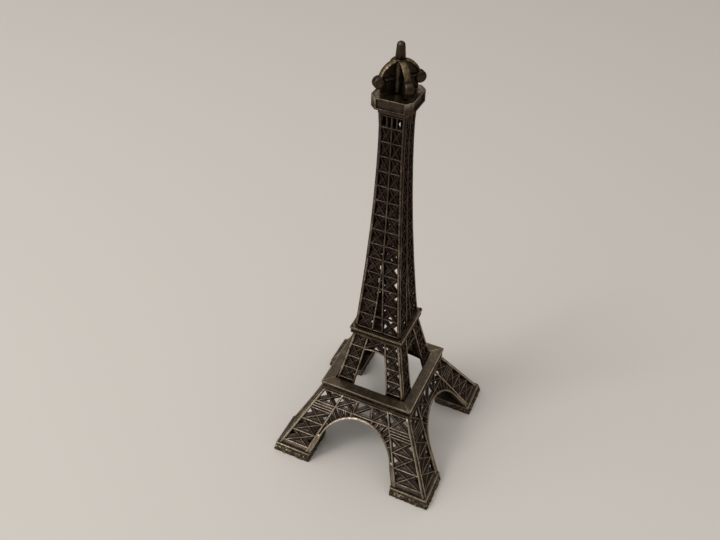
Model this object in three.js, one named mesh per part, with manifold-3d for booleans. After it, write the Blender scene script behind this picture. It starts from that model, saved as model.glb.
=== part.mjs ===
// A cast metal souvenir of a four-legged lattice tower, soldered together from separate castings.
// Units are millimetres, +Z is up and the origin is on the table, under the middle of the tower.
// Each side of the tower is made once, facing -Y, and turned about Z for the other three sides.
// "out" is the distance outwards from the tower's axis, and "half" is half the width of a level.
import * as THREE from "three";
import { mergeVertices } from "three/addons/utils/BufferGeometryUtils.js";
import Module from "manifold-3d";

const wasm = await Module();
wasm.setup();

// ---- Driving dimensions ----------------------------------------------------------------------

const SEAM = 0.3; // solder seam between neighbouring castings

// Heights of what is stacked on the table, each measured to where the next one starts
const PLINTH_HEIGHT = 4.2;
const LOWER_HEIGHT = 27.4;
const DECK_1_HEIGHT = 4.5;
const MIDDLE_HEIGHT = 24.6;
const DECK_2_HEIGHT = 3;
const SHAFT_HEIGHT = 93.3;
const GALLERY_HEIGHT = 6.3;
const LANTERN_HEIGHT = 11.2;
const PIN_HEIGHT = 5.5;

// Foot plinths
const PLINTH_OUTER = 36.2; // tower's axis to a plinth's outer side, at the table
const PLINTH_SIDE = 17.6;
const PLINTH_BATTER = 1.3; // how far its outer sides lean in over its height
const PLINTH_LEDGE = 0.6; // how far a plinth stands out past the leg on it

// Lower storey
const LOWER_TOP_HALF = 19.4;
const LOWER_THICKNESS = 1.3;
const LOWER_CORNER_CHORD = 2;
const LOWER_NECK = 9.4; // half the gap between the legs, under the first platform
const LOWER_INNER_CHORD = 1.1;
const LOWER_SILL = 2.2; // solid foot of the leg, under its braced bays
const LOWER_BRACED_BAYS = 3;
const SHORT_BAY = 3.2; // blind bay between the girder and the braced bays
const GIRDER_DEPTH = 5.9;
const GIRDER_PANELS = 3;
const ARCH_RIM = 1.1;
const ARCH_CLEARANCE = 0.15; // between the arch's crown and the girder
const ARCH_SOFFIT_DEPTH = 2.6;
const SPRINGING_HEIGHT = 6.8; // where the arch leaves the legs, above the plinths
const SPRINGING_BAR = 2.7; // width of the bar that the arch and the leg make there
const FOOT_BAR = 2.9; // its width at the plinth
const SPANDREL_TIES = 5;
const SPANDREL_FROM = 38; // degrees above level, seen from the arch's centre
const SPANDREL_TO = 75;

// Middle storey
const MIDDLE_FOOT_HALF = 15.2;
const MIDDLE_TOP_HALF = 10.1;
const MIDDLE_THICKNESS = 1.2;
const MIDDLE_CORNER_CHORD = 1.8;
const MIDDLE_INNER_CHORD = 0.9;
const MIDDLE_GAP_FOOT = 7.1; // half the gap between the legs
const MIDDLE_GAP_TOP = 3.1;
const MIDDLE_BAYS = 4;
const MIDDLE_TOP_CHORD = 1;
const BAND_DEPTH = 7.4; // lattice band that joins the legs under the second platform
const BAND_RISE = 0.7; // its lower edge is this much higher in the middle
const BAND_EDGE = 0.8;

// Shaft
const SHAFT_FOOT_INSET = 0.35; // how far the shaft stands in from the middle storey's top
const SHAFT_TOP_HALF = 4.65;
const SHAFT_FLARE = 1.75; // power of the shaft's curve
const SHAFT_THICKNESS = 0.9;
const SHAFT_CORNER_CHORD = 1.4;
const SHAFT_BAYS = 14;
const SHAFT_FIRST_BAY = 7.05;
const SHAFT_BAY_STEP = 0.12; // each bay is this much lower than the one under it
const SHAFT_SILL = 0.85;
const CENTRE_BAR = 0.75;
const SPLIT_BAYS = 5; // bays in which the centre bar is split in two
const SPLIT_FOOT_HALF = 2.15; // from the middle to each half of the bar, at the foot
const SPLIT_TIE_EVERY = 2;
const SLOT_TIP_HALF = 0.2; // half the width of the slot between them, where it ends
const BALUSTERS = 3;
const BALUSTER_WIDTH = 0.7;

// Lattice bars, with the flare at their roots that leaves the casting only small openings
const RUNG = 1.3;
const LEG_RUNG = 1.9;
const LEG_BRACE = 2;
const GIRDER_BRACE = 1.3;
const MIDDLE_BRACE = 1.5;
const SHAFT_BRACE = 1.4;
const TIE = 1.3;
const LEAST_OPENING = 0.3; // square millimetres; anything smaller is cast closed

// Platform mouldings
const DECK_1_OVERHANG = 0.5; // past the storey below
const DECK_2_OVERHANG = 1.1;
const DECK_2_INNER_SHELF = 1.1; // past the inside of the shaft that stands on it
const LIP = 0.8; // height of the upper and lower lips
const GROOVE_DEPTH = 0.8;

// Gallery
const GALLERY_HALF = 7.3;
const GALLERY_CHAMFER = 2.16;
const GALLERY_SIDE_HEIGHT = 4.1;
const GALLERY_FOOT_LIP = 0.35; // past the top of the shaft
const PANEL_MARGIN = 0.7;
const PANEL_DEPTH = 0.4;
const SPIGOT_LENGTH = 3;
const COVE_STEPS = 3;

// Lantern and antenna pin
const FIN_REACH = 9; // tower's axis to the end of a fin
const FIN_THICKNESS = 2;
const FIN_LIFT = 2.2; // underside of the fins above the gallery
const FIN_FOOT_INSET = 2.6; // the fins' foot ends short of their reach
const ROLLER_RADIUS = 2.1;
const ROLLER_LENGTH = 3.4;
const FIN_SHOULDER = 0.4; // the fin is this much lower than the rollers at its ends
const FAN_RADIUS = 7.3;
const FAN_WEB = 1.2;
const FAN_RIM = 1.1;
const FAN_RIM_THICKNESS = 2.2;
const POST_RADIUS = 1.75;
const PEG_RADIUS = 1.5;
const PEG_LENGTH = 2.5;
const PIN_FOOT_RADIUS = 1.65;
const PIN_TIP_RADIUS = 1.35;
const TENON_RADIUS = 0.9;
const TENON_LENGTH = 3;
const ROUND_SIDES = 12;
const FAN_STEPS = 10;

// ---- Levels and widths worked out from them --------------------------------------------------

const DECK_1_Z = PLINTH_HEIGHT + LOWER_HEIGHT;
const MIDDLE_Z = DECK_1_Z + DECK_1_HEIGHT;
const DECK_2_Z = MIDDLE_Z + MIDDLE_HEIGHT;
const SHAFT_Z = DECK_2_Z + DECK_2_HEIGHT;
const GALLERY_Z = SHAFT_Z + SHAFT_HEIGHT;
const LANTERN_Z = GALLERY_Z + GALLERY_HEIGHT;
const PIN_Z = LANTERN_Z + LANTERN_HEIGHT;
const TOP_Z = PIN_Z + PIN_HEIGHT;

const PLINTH_INNER = PLINTH_OUTER - PLINTH_SIDE;
const PLINTH_TOP_OUTER = PLINTH_OUTER - PLINTH_BATTER;
const LOWER_FOOT_HALF = PLINTH_TOP_OUTER - PLINTH_LEDGE;
const SHAFT_FOOT_HALF = MIDDLE_TOP_HALF - SHAFT_FOOT_INSET;
const BEYOND = PLINTH_OUTER + 5; // clear outside everything

const line = (z0, v0, z1, v1) => (z) => v0 + ((z - z0) * (v1 - v0)) / (z1 - z0);

const lowerHalf = line(PLINTH_HEIGHT, LOWER_FOOT_HALF, DECK_1_Z, LOWER_TOP_HALF);
const middleHalf = line(MIDDLE_Z, MIDDLE_FOOT_HALF, DECK_2_Z, MIDDLE_TOP_HALF);
const shaftHalf = (z) => {
  const up = Math.min(1, (z - SHAFT_Z) / SHAFT_HEIGHT);
  return SHAFT_TOP_HALF + (SHAFT_FOOT_HALF - SHAFT_TOP_HALF) * (1 - up) ** SHAFT_FLARE;
};

// ---- Solids ----------------------------------------------------------------------------------

const asSolid = (geometry) => {
  geometry.deleteAttribute("normal");
  geometry.deleteAttribute("uv");
  const merged = mergeVertices(geometry, 1e-4);
  const vertProperties = new Float32Array(merged.attributes.position.array);
  const triVerts = new Uint32Array(merged.index.array);
  return new wasm.Manifold(new wasm.Mesh({ numProp: 3, vertProperties, triVerts }));
};

const asGeometry = (solid) => {
  const mesh = solid.getMesh();
  const geometry = new THREE.BufferGeometry();
  geometry.setAttribute("position", new THREE.BufferAttribute(mesh.vertProperties, 3));
  geometry.setIndex(new THREE.BufferAttribute(mesh.triVerts, 1));
  geometry.computeVertexNormals();
  return geometry;
};

const join = (solids) => solids.reduce((sum, solid) => sum.add(solid));

const shapeOf = (points) => new THREE.Shape(points.map(([x, y]) => new THREE.Vector2(x, y)));

const prism = (shape, depth, matrix) => {
  const options = { depth, bevelEnabled: false, curveSegments: FAN_STEPS };
  return asSolid(new THREE.ExtrudeGeometry(shape, options).applyMatrix4(matrix));
};

// A face drawn as [x, z], standing upright and reaching from "out" inwards by "depth"
const upright = (shape, out, depth) => {
  const matrix = new THREE.Matrix4().makeRotationX(Math.PI / 2);
  return prism(shape, depth, matrix.setPosition(0, depth - out, 0));
};

// A section drawn as [out, z], running the whole width of the tower's -Y side
const alongSide = (section) => {
  const axes = [new THREE.Vector3(0, -1, 0), new THREE.Vector3(0, 0, 1), new THREE.Vector3(-1, 0, 0)];
  const matrix = new THREE.Matrix4().makeBasis(...axes).setPosition(BEYOND, 0, 0);
  return prism(shapeOf(section), 2 * BEYOND, matrix);
};

// The quarter of the plan that belongs to the -Y side, less half a seam along each mitre
const quarter = () => {
  const back = SEAM / Math.SQRT2;
  const plan = [[0, -back], [-BEYOND, -BEYOND - back], [BEYOND, -BEYOND - back]];
  return prism(shapeOf(plan), TOP_Z, new THREE.Matrix4());
};

const roundBar = (radius, bottom, top) => {
  const geometry = new THREE.CylinderGeometry(radius, radius, top - bottom, ROUND_SIDES);
  geometry.rotateX(Math.PI / 2).translate(0, 0, (bottom + top) / 2);
  return asSolid(geometry);
};

const squareBlock = (half, bottom, top) => {
  const geometry = new THREE.BoxGeometry(2 * half, 2 * half, top - bottom);
  return asSolid(geometry.translate(0, 0, (bottom + top) / 2));
};

// ---- Lattice ---------------------------------------------------------------------------------

// Moves each edge of an anticlockwise polygon inwards by its own distance
const inset = (points, distances) => {
  const edges = points.map(([x, y], i) => {
    const [nextX, nextY] = points[(i + 1) % points.length];
    const length = Math.hypot(nextX - x, nextY - y);
    const [dx, dy] = [(nextX - x) / length, (nextY - y) / length];
    return { x: x - dy * distances[i], y: y + dx * distances[i], dx, dy };
  });
  return edges.map((edge, i) => {
    const last = edges[(i + edges.length - 1) % edges.length];
    const cross = last.dx * edge.dy - last.dy * edge.dx;
    const along = ((edge.x - last.x) * edge.dy - (edge.y - last.y) * edge.dx) / cross;
    return [last.x + last.dx * along, last.y + last.dy * along];
  });
};

const crossing = ([ax, ay], [bx, by], [cx, cy], [dx, dy]) => {
  const denominator = (bx - ax) * (dy - cy) - (by - ay) * (dx - cx);
  const share = ((cx - ax) * (dy - cy) - (cy - ay) * (dx - cx)) / denominator;
  return [ax + share * (bx - ax), ay + share * (by - ay)];
};

// A bay's corners run anticlockwise from its lower left. Its sides are the edges of the chords,
// and its bottom and top are the middles of the rungs.
const bay = (leftEdge, rightEdge, bottom, top) => [
  [leftEdge(bottom), bottom],
  [rightEdge(bottom), bottom],
  [rightEdge(top), top],
  [leftEdge(top), top],
];

// Area inside corners that run anticlockwise
const area = (points) =>
  points.reduce((sum, [x, z], i) => {
    const [nextX, nextZ] = points[(i + 1) % points.length];
    return sum + (x * nextZ - nextX * z) / 2;
  }, 0);

// A triangle that is inset too far comes out turned about, with its first edge the other way
const staysOpen = (points, triangle) => {
  const edge = ([[x, z], [nextX, nextZ]]) => [nextX - x, nextZ - z];
  const [dx, dz] = edge(points);
  const [firstDx, firstDz] = edge(triangle);
  return dx * firstDx + dz * firstDz > 0 && area(points) > LEAST_OPENING;
};

const insetTriangles = (triangles) =>
  triangles
    .map(([corners, margins]) => [inset(corners, margins), corners])
    .filter(([points, corners]) => staysOpen(points, corners))
    .map(([points]) => points);

// The openings of a bay with two crossed braces, or with one brace
const crossedBay = ([a, b, c, d], brace, rung = RUNG) => {
  const centre = crossing(a, c, b, d);
  return insetTriangles([
    [[a, b, centre], [rung / 2, brace / 2, brace / 2]],
    [[b, c, centre], [0, brace / 2, brace / 2]],
    [[c, d, centre], [rung / 2, brace / 2, brace / 2]],
    [[d, a, centre], [0, brace / 2, brace / 2]],
  ]);
};

const singleBay = ([a, b, c, d], brace) =>
  insetTriangles([
    [[a, b, c], [RUNG / 2, 0, brace / 2]],
    [[a, c, d], [brace / 2, RUNG / 2, 0]],
  ]);

const mirrored = (openings) => openings.map((points) => points.map(([x, z]) => [-x, z]).reverse());

const onBothSides = (openings) => [...openings, ...mirrored(openings)];

const levels = (from, to, count) =>
  Array.from({ length: count + 1 }, (_, i) => from + ((to - from) * i) / count);

const pairs = (values) => values.slice(1).map((value, i) => [values[i], value]);

// One side's sheet, following the tower's outline, with its outline and openings cut out of it
const sideFrame = (half, thickness, breaks, outline, openings) => {
  const face = breaks.map((z) => [half(z), z]);
  const back = breaks.map((z) => [half(z) - thickness, z]).reverse();
  const through = (points) => upright(shapeOf(points), BEYOND, BEYOND);
  const sheet = alongSide([...face, ...back]).intersect(through(outline)).intersect(quarter());
  return sheet.subtract(join(openings.map(through)));
};

// ---- Castings --------------------------------------------------------------------------------

// Square block under each leg, whose two outer sides lean in
const makePlinth = () => {
  const battered = alongSide([
    [PLINTH_INNER, 0],
    [PLINTH_OUTER, 0],
    [PLINTH_TOP_OUTER, PLINTH_HEIGHT],
    [PLINTH_INNER, PLINTH_HEIGHT],
  ]);
  return battered.intersect(battered.rotate([0, 0, 90]));
};

// Lower storey: two raking half-legs, the round arch between them and the girder over it
const makeLowerFrame = () => {
  const bottom = PLINTH_HEIGHT + SEAM;
  const girderZ = DECK_1_Z - GIRDER_DEPTH;
  const outerEdge = (z) => lowerHalf(z) - LOWER_CORNER_CHORD;
  const innerEdge = line(
    PLINTH_HEIGHT, PLINTH_INNER + FOOT_BAR, DECK_1_Z, LOWER_NECK + LOWER_INNER_CHORD,
  );
  const gapEdge = (z) => innerEdge(z) - LOWER_INNER_CHORD;

  const springZ = PLINTH_HEIGHT + SPRINGING_HEIGHT;
  const springX = innerEdge(springZ) - SPRINGING_BAR;
  const crownZ = girderZ - RUNG / 2 - ARCH_CLEARANCE - ARCH_RIM;
  const rise = crownZ - springZ;
  const archRadius = (springX ** 2 + rise ** 2) / (2 * rise);
  const archZ = crownZ - archRadius;
  const springAngle = Math.atan2(springZ - archZ, springX);
  const arc = (radius) =>
    levels(springAngle, Math.PI - springAngle, 20).map((angle) => [
      radius * Math.cos(angle),
      archZ + radius * Math.sin(angle),
    ]);

  const outline = [
    [PLINTH_INNER, bottom],
    [BEYOND, bottom],
    [BEYOND, DECK_1_Z],
    [-BEYOND, DECK_1_Z],
    [-BEYOND, bottom],
    [-PLINTH_INNER, bottom],
    ...arc(archRadius).reverse(),
  ];

  const firstRung = bottom + LOWER_SILL - RUNG / 2;
  const braced = levels(firstRung, girderZ - SHORT_BAY, LOWER_BRACED_BAYS);
  const legBays = pairs(braced).flatMap(([low, high]) =>
    crossedBay(bay(innerEdge, outerEdge, low, high), LEG_BRACE, LEG_RUNG),
  );
  const topLegBay = crossedBay(
    bay(innerEdge, outerEdge, girderZ, DECK_1_Z - RUNG / 2), GIRDER_BRACE,
  );

  const post = (share, side) => (z) => gapEdge(z) * share + side * TIE / 2;
  const shares = levels(-1, 1, GIRDER_PANELS);
  const girder = pairs(shares).flatMap(([from, to]) => {
    const left = post(from, from > -1 ? 1 : 0);
    const right = post(to, to < 1 ? -1 : 0);
    const panel = bay(left, right, girderZ, DECK_1_Z - RUNG / 2);
    return from * to < 0 ? singleBay(panel, GIRDER_BRACE) : crossedBay(panel, GIRDER_BRACE);
  });

  // Each spandrel opening reaches out from the arch to the girder or the leg, whichever is nearer
  const rimRadius = archRadius + ARCH_RIM;
  const radians = THREE.MathUtils.degToRad;
  const spokes = levels(radians(SPANDREL_FROM), radians(SPANDREL_TO), SPANDREL_TIES);
  const gapAtCentre = gapEdge(archZ);
  const gapSlope = gapEdge(archZ) - gapEdge(archZ + 1);
  const reach = (angle) => {
    const toGirder = (girderZ - RUNG / 2 - archZ) / Math.sin(angle);
    const toLeg = gapAtCentre / (Math.cos(angle) + gapSlope * Math.sin(angle));
    return Math.min(toGirder, toLeg);
  };
  const at = (radius, angle) => [radius * Math.cos(angle), archZ + radius * Math.sin(angle)];
  const spandrel = pairs(spokes).map(([from, to]) =>
    inset(
      [at(rimRadius, from), at(reach(from), from), at(reach(to), to), at(rimRadius, to)],
      [TIE / 2, 0, TIE / 2, 0],
    ),
  );

  const openings = [
    ...onBothSides([...legBays, ...topLegBay, ...spandrel]),
    ...girder,
  ];
  const frame = sideFrame(lowerHalf, LOWER_THICKNESS, [0, DECK_1_Z], outline, openings);

  // The arch is deeper than the lattice: its soffit reaches further in
  const soffitShape = shapeOf([...arc(rimRadius - ARCH_RIM / 4), ...arc(archRadius).reverse()]);
  const behind = (z, depth) => [lowerHalf(z) - depth, z];
  const soffitSheet = alongSide([
    behind(0, LOWER_THICKNESS / 2),
    behind(DECK_1_Z, LOWER_THICKNESS / 2),
    behind(DECK_1_Z, ARCH_SOFFIT_DEPTH),
    behind(0, ARCH_SOFFIT_DEPTH),
  ]);
  const soffit = soffitSheet.intersect(upright(soffitShape, BEYOND, BEYOND));
  return frame.add(soffit.intersect(quarter()));
};

// Middle storey: two half-legs whose feet lap behind the first platform, joined by a band on top
const makeMiddleFrame = () => {
  const bottom = DECK_1_Z + SEAM;
  const bandZ = DECK_2_Z - BAND_DEPTH;
  const top = DECK_2_Z - SEAM;
  const outerEdge = (z) => middleHalf(z) - MIDDLE_CORNER_CHORD;
  const gapEdge = line(MIDDLE_Z, MIDDLE_GAP_FOOT, DECK_2_Z, MIDDLE_GAP_TOP);
  const innerEdge = (z) => gapEdge(z) + MIDDLE_INNER_CHORD;
  const bandEdge = levels(-1, 1, 6).map((share) => [
    share * gapEdge(bandZ),
    bandZ + BAND_RISE * (1 - share ** 2),
  ]);
  const outline = [
    [gapEdge(bottom), bottom],
    [BEYOND, bottom],
    [BEYOND, top],
    [-BEYOND, top],
    [-BEYOND, bottom],
    [-gapEdge(bottom), bottom],
    ...bandEdge,
  ];
  const lastRung = top - MIDDLE_TOP_CHORD + RUNG / 2;
  const rungs = levels(MIDDLE_Z + SEAM + RUNG / 2, lastRung, MIDDLE_BAYS);
  const legBays = pairs(rungs).flatMap(([low, high]) =>
    crossedBay(bay(innerEdge, outerEdge, low, high), MIDDLE_BRACE),
  );
  const mirroredGap = (z) => -gapEdge(z);
  const bandBay = bay(mirroredGap, gapEdge, bandZ + BAND_RISE + BAND_EDGE, lastRung);
  const openings = [...onBothSides(legBays), ...crossedBay(bandBay, MIDDLE_BRACE)];
  return sideFrame(middleHalf, MIDDLE_THICKNESS, [0, DECK_2_Z], outline, openings);
};

// Shaft: a tall curved side of crossed bays, with a centre bar that splits in two near the foot
const makeShaftFrame = () => {
  const bottom = SHAFT_Z + SEAM;
  const rungs = [bottom + SHAFT_SILL - RUNG / 2];
  for (let i = 0; i < SHAFT_BAYS; i += 1) {
    rungs.push(rungs[i] + SHAFT_FIRST_BAY - i * SHAFT_BAY_STEP);
  }
  const bayTop = rungs[SHAFT_BAYS];
  const splitZ = rungs[SPLIT_BAYS];
  const outerEdge = (z) => shaftHalf(z) - SHAFT_CORNER_CHORD;
  const splitHalf = line(SHAFT_Z, SPLIT_FOOT_HALF, splitZ, 0);
  const innerEdge = (z) => Math.max(0, splitHalf(z)) + CENTRE_BAR / 2;
  const bays = pairs(rungs).flatMap(([low, high]) =>
    crossedBay(bay(innerEdge, outerEdge, low, high), SHAFT_BRACE),
  );

  // The slot between the two halves of the centre bar, with a tie at every second rung
  const slotEdge = (z) => splitHalf(z) - CENTRE_BAR / 2;
  const mirroredSlot = (z) => -slotEdge(z);
  const slotShare = 1 - (SLOT_TIP_HALF + CENTRE_BAR / 2) / SPLIT_FOOT_HALF;
  const slotTop = SHAFT_Z + (splitZ - SHAFT_Z) * slotShare;
  const tied = rungs.filter((z, i) => i % SPLIT_TIE_EVERY === 1 && z < slotTop - SHAFT_FIRST_BAY / 2);
  const slots = pairs([rungs[0], ...tied, slotTop]).map(([low, high]) =>
    inset(bay(mirroredSlot, slotEdge, low, high), [RUNG / 2, 0, RUNG / 2, 0]),
  );

  // Upright balusters between the last rung and the gallery
  const ledge = GALLERY_Z - RUNG;
  const edges = levels(-1, 1, BALUSTERS + 1);
  const railings = pairs(edges).map(([from, to]) => {
    const left = (z) => from * outerEdge(z) + (from > -1 ? BALUSTER_WIDTH / 2 : 0);
    const right = (z) => to * outerEdge(z) - (to < 1 ? BALUSTER_WIDTH / 2 : 0);
    return inset(bay(left, right, bayTop, ledge), [RUNG / 2, 0, 0, 0]);
  });

  const outline = [[-BEYOND, bottom], [BEYOND, bottom], [BEYOND, GALLERY_Z], [-BEYOND, GALLERY_Z]];
  const openings = [...onBothSides(bays), ...slots, ...railings];
  const breaks = [SHAFT_Z, ...rungs.slice(1), GALLERY_Z];
  return sideFrame(shaftHalf, SHAFT_THICKNESS, breaks, outline, openings);
};

// A platform moulding: a slab with an upper and a lower lip and a groove between them
const makeDeck = (bottom, top, half, innerBottom, innerTop) =>
  alongSide([
    [innerBottom, bottom],
    [half - GROOVE_DEPTH / 4, bottom],
    [half - GROOVE_DEPTH / 4, bottom + LIP],
    [half - GROOVE_DEPTH, bottom + 1.5 * LIP],
    [half - GROOVE_DEPTH, top - 1.5 * LIP],
    [half, top - LIP],
    [half, top],
    [innerTop, top],
  ]).intersect(quarter());

// The first platform's back is parallel to the middle storey's feet, which lap behind it
const makeDeck1 = () => {
  const rake = (MIDDLE_FOOT_HALF - MIDDLE_TOP_HALF) / MIDDLE_HEIGHT;
  const lapSeam = SEAM * Math.hypot(1, rake);
  const back = (z) => middleHalf(z) + lapSeam;
  const bottom = DECK_1_Z + SEAM;
  return makeDeck(bottom, MIDDLE_Z, LOWER_TOP_HALF + DECK_1_OVERHANG, back(bottom), back(MIDDLE_Z));
};

// The second platform is stood on the middle storey and carries the shaft
const makeDeck2 = () => {
  const inner = SHAFT_FOOT_HALF - SHAFT_THICKNESS - DECK_2_INNER_SHELF;
  return makeDeck(DECK_2_Z, SHAFT_Z, MIDDLE_TOP_HALF + DECK_2_OVERHANG, inner, inner);
};

// Gallery: a chamfered square block with a coved underside, sunk panels and a spigot under it
const makeGallery = () => {
  const bottom = GALLERY_Z + SEAM;
  const sideZ = LANTERN_Z - GALLERY_SIDE_HEIGHT;
  const footHalf = SHAFT_TOP_HALF + GALLERY_FOOT_LIP;
  const cove = levels(0, Math.PI / 2, COVE_STEPS).map((turn) => [
    GALLERY_HALF - (GALLERY_HALF - footHalf) * Math.cos(turn),
    bottom + (sideZ - bottom) * Math.sin(turn),
  ]);
  const profile = [[0, bottom], ...cove, [GALLERY_HALF, LANTERN_Z], [0, LANTERN_Z]];
  const ring = profile.map(([half, z]) => new THREE.Vector2(half * Math.SQRT2, z));
  const lathe = new THREE.LatheGeometry(ring, 4, Math.PI / 4);
  const block = asSolid(lathe.rotateX(Math.PI / 2));
  const corner = (2 * GALLERY_HALF - GALLERY_CHAMFER) / Math.SQRT2;
  const chamfers = new THREE.BoxGeometry(2 * corner, 2 * corner, 2 * TOP_Z).rotateZ(Math.PI / 4);
  const panelWidth = 2 * (GALLERY_HALF - GALLERY_CHAMFER - PANEL_MARGIN);
  const panelHeight = GALLERY_SIDE_HEIGHT - 2 * PANEL_MARGIN;
  const panelZ = sideZ + GALLERY_SIDE_HEIGHT / 2;
  const panels = [0, 1].map((turn) => {
    const cutter = new THREE.BoxGeometry(panelWidth, 4 * GALLERY_HALF, panelHeight);
    return asSolid(cutter.rotateZ((turn * Math.PI) / 2).translate(0, 0, panelZ));
  });
  const core = squareBlock(GALLERY_HALF - PANEL_DEPTH, bottom, LANTERN_Z);
  const sunk = join(panels).subtract(core);
  const spigotHalf = SHAFT_TOP_HALF - SHAFT_THICKNESS - SEAM;
  const spigot = squareBlock(spigotHalf, bottom - SPIGOT_LENGTH, bottom + SPIGOT_LENGTH / 2);
  const pegHole = roundBar(PEG_RADIUS + SEAM, LANTERN_Z - PEG_LENGTH, LANTERN_Z + 1);
  return block.intersect(asSolid(chamfers)).subtract(sunk).add(spigot).subtract(pegHole);
};

// Lantern: two crossed fins with round ends, a fan over each, and the post that they meet at
const makeLantern = () => {
  const bottom = LANTERN_Z + SEAM;
  const finZ = LANTERN_Z + FIN_LIFT;
  const rollerX = FIN_REACH - ROLLER_RADIUS;
  const rollerZ = finZ + ROLLER_RADIUS;
  const finTop = rollerZ + ROLLER_RADIUS - FIN_SHOULDER;
  const footX = FIN_REACH - FIN_FOOT_INSET;
  const fanZ = PIN_Z - FAN_RADIUS;
  const slab = (points, thickness) => upright(shapeOf(points), thickness / 2, thickness);

  const fin = slab(
    [
      [-footX, bottom],
      [footX, bottom],
      [footX, finZ + FIN_SHOULDER],
      [rollerX, finZ + FIN_SHOULDER],
      [rollerX, finTop],
      [-rollerX, finTop],
      [-rollerX, finZ + FIN_SHOULDER],
      [-footX, finZ + FIN_SHOULDER],
    ],
    FIN_THICKNESS,
  );
  const rollers = [-rollerX, rollerX].map((x) => {
    const roller = [ROLLER_RADIUS, ROLLER_RADIUS, ROLLER_LENGTH, ROUND_SIDES];
    return asSolid(new THREE.CylinderGeometry(...roller).translate(x, 0, rollerZ));
  });
  const half = new THREE.Shape().absarc(0, fanZ, FAN_RADIUS, 0, Math.PI, false);
  const web = upright(half, FAN_WEB / 2, FAN_WEB);
  const rim = new THREE.Shape().absarc(0, fanZ, FAN_RADIUS, 0, Math.PI, false);
  rim.absarc(0, fanZ, FAN_RADIUS - FAN_RIM, Math.PI, 0, true);
  const rib = upright(rim, FAN_RIM_THICKNESS / 2, FAN_RIM_THICKNESS);

  const fan = join([fin, ...rollers, web, rib]);
  const post = roundBar(POST_RADIUS, bottom, PIN_Z);
  const peg = roundBar(PEG_RADIUS, bottom - PEG_LENGTH, bottom + PEG_LENGTH);
  const tenonHole = roundBar(TENON_RADIUS + SEAM, PIN_Z - TENON_LENGTH, PIN_Z + 1);
  return join([fan.rotate([0, 0, 45]), fan.rotate([0, 0, -45]), post, peg]).subtract(tenonHole);
};

// Antenna: a tapered pin with a round tip and a tenon that sits in the lantern's post
const makePin = () => {
  const bottom = PIN_Z + SEAM;
  const tip = levels(0, Math.PI / 2, 4).map((turn) => [
    PIN_TIP_RADIUS * Math.cos(turn),
    TOP_Z - PIN_TIP_RADIUS + PIN_TIP_RADIUS * Math.sin(turn),
  ]);
  tip[tip.length - 1][0] = 0;
  const profile = [
    [0, bottom - TENON_LENGTH + SEAM],
    [TENON_RADIUS, bottom - TENON_LENGTH + SEAM],
    [TENON_RADIUS, bottom],
    [PIN_FOOT_RADIUS, bottom],
    ...tip,
  ];
  const points = profile.map(([radius, z]) => new THREE.Vector2(radius, z));
  return asSolid(new THREE.LatheGeometry(points, ROUND_SIDES).rotateX(Math.PI / 2));
};

// ---- Assembly --------------------------------------------------------------------------------

const BRONZE = { color: 0x5a4c3c, roughness: 0.42, metalness: 0.9 };
const RAISED_BRONZE = { color: 0x7d6a4a, roughness: 0.36, metalness: 0.9 };
const DARK_BRONZE = { color: 0x473c31, roughness: 0.55, metalness: 0.85 };

const SIDES = ["front", "right", "back", "left"];
const CORNERS = ["front_right", "back_right", "back_left", "front_left"];

const tower = new THREE.Group();

const place = (name, geometry, finish, turn = 0) => {
  const mesh = new THREE.Mesh(geometry, new THREE.MeshStandardMaterial(finish));
  mesh.name = name;
  mesh.rotation.z = (turn * Math.PI) / 2;
  tower.add(mesh);
};

const placeFour = (names, prefix, solid, finish) => {
  const geometry = asGeometry(solid);
  names.forEach((name, turn) => place(`${prefix}_${name}`, geometry, finish, turn));
};

placeFour(CORNERS, "plinth", makePlinth(), DARK_BRONZE);
placeFour(SIDES, "lower_frame", makeLowerFrame(), BRONZE);
placeFour(SIDES, "deck_1_moulding", makeDeck1(), RAISED_BRONZE);
placeFour(SIDES, "middle_frame", makeMiddleFrame(), BRONZE);
placeFour(SIDES, "deck_2_moulding", makeDeck2(), RAISED_BRONZE);
placeFour(SIDES, "shaft_frame", makeShaftFrame(), BRONZE);
place("gallery", asGeometry(makeGallery()), BRONZE);
place("lantern", asGeometry(makeLantern()), RAISED_BRONZE);
place("antenna_pin", asGeometry(makePin()), BRONZE);

export default tower;
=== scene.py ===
# %% [markdown]
# # A cast souvenir tower
# This lesson builds the looks of a small die-cast tower: four raking legs of open lattice, two
# square platforms, a tall curved shaft, a gallery and a lantern. Every casting already has its
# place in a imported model, the frame, so each piece is modelled inside the box that its part has.
# The plan is the one that a foundry would use: one side of each storey is drawn flat, given its
# rake, mitred at the corners and then used four times.

# %% Load the frame
import math

import bmesh
import bpy
from mathutils import Matrix, Vector, noise


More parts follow.
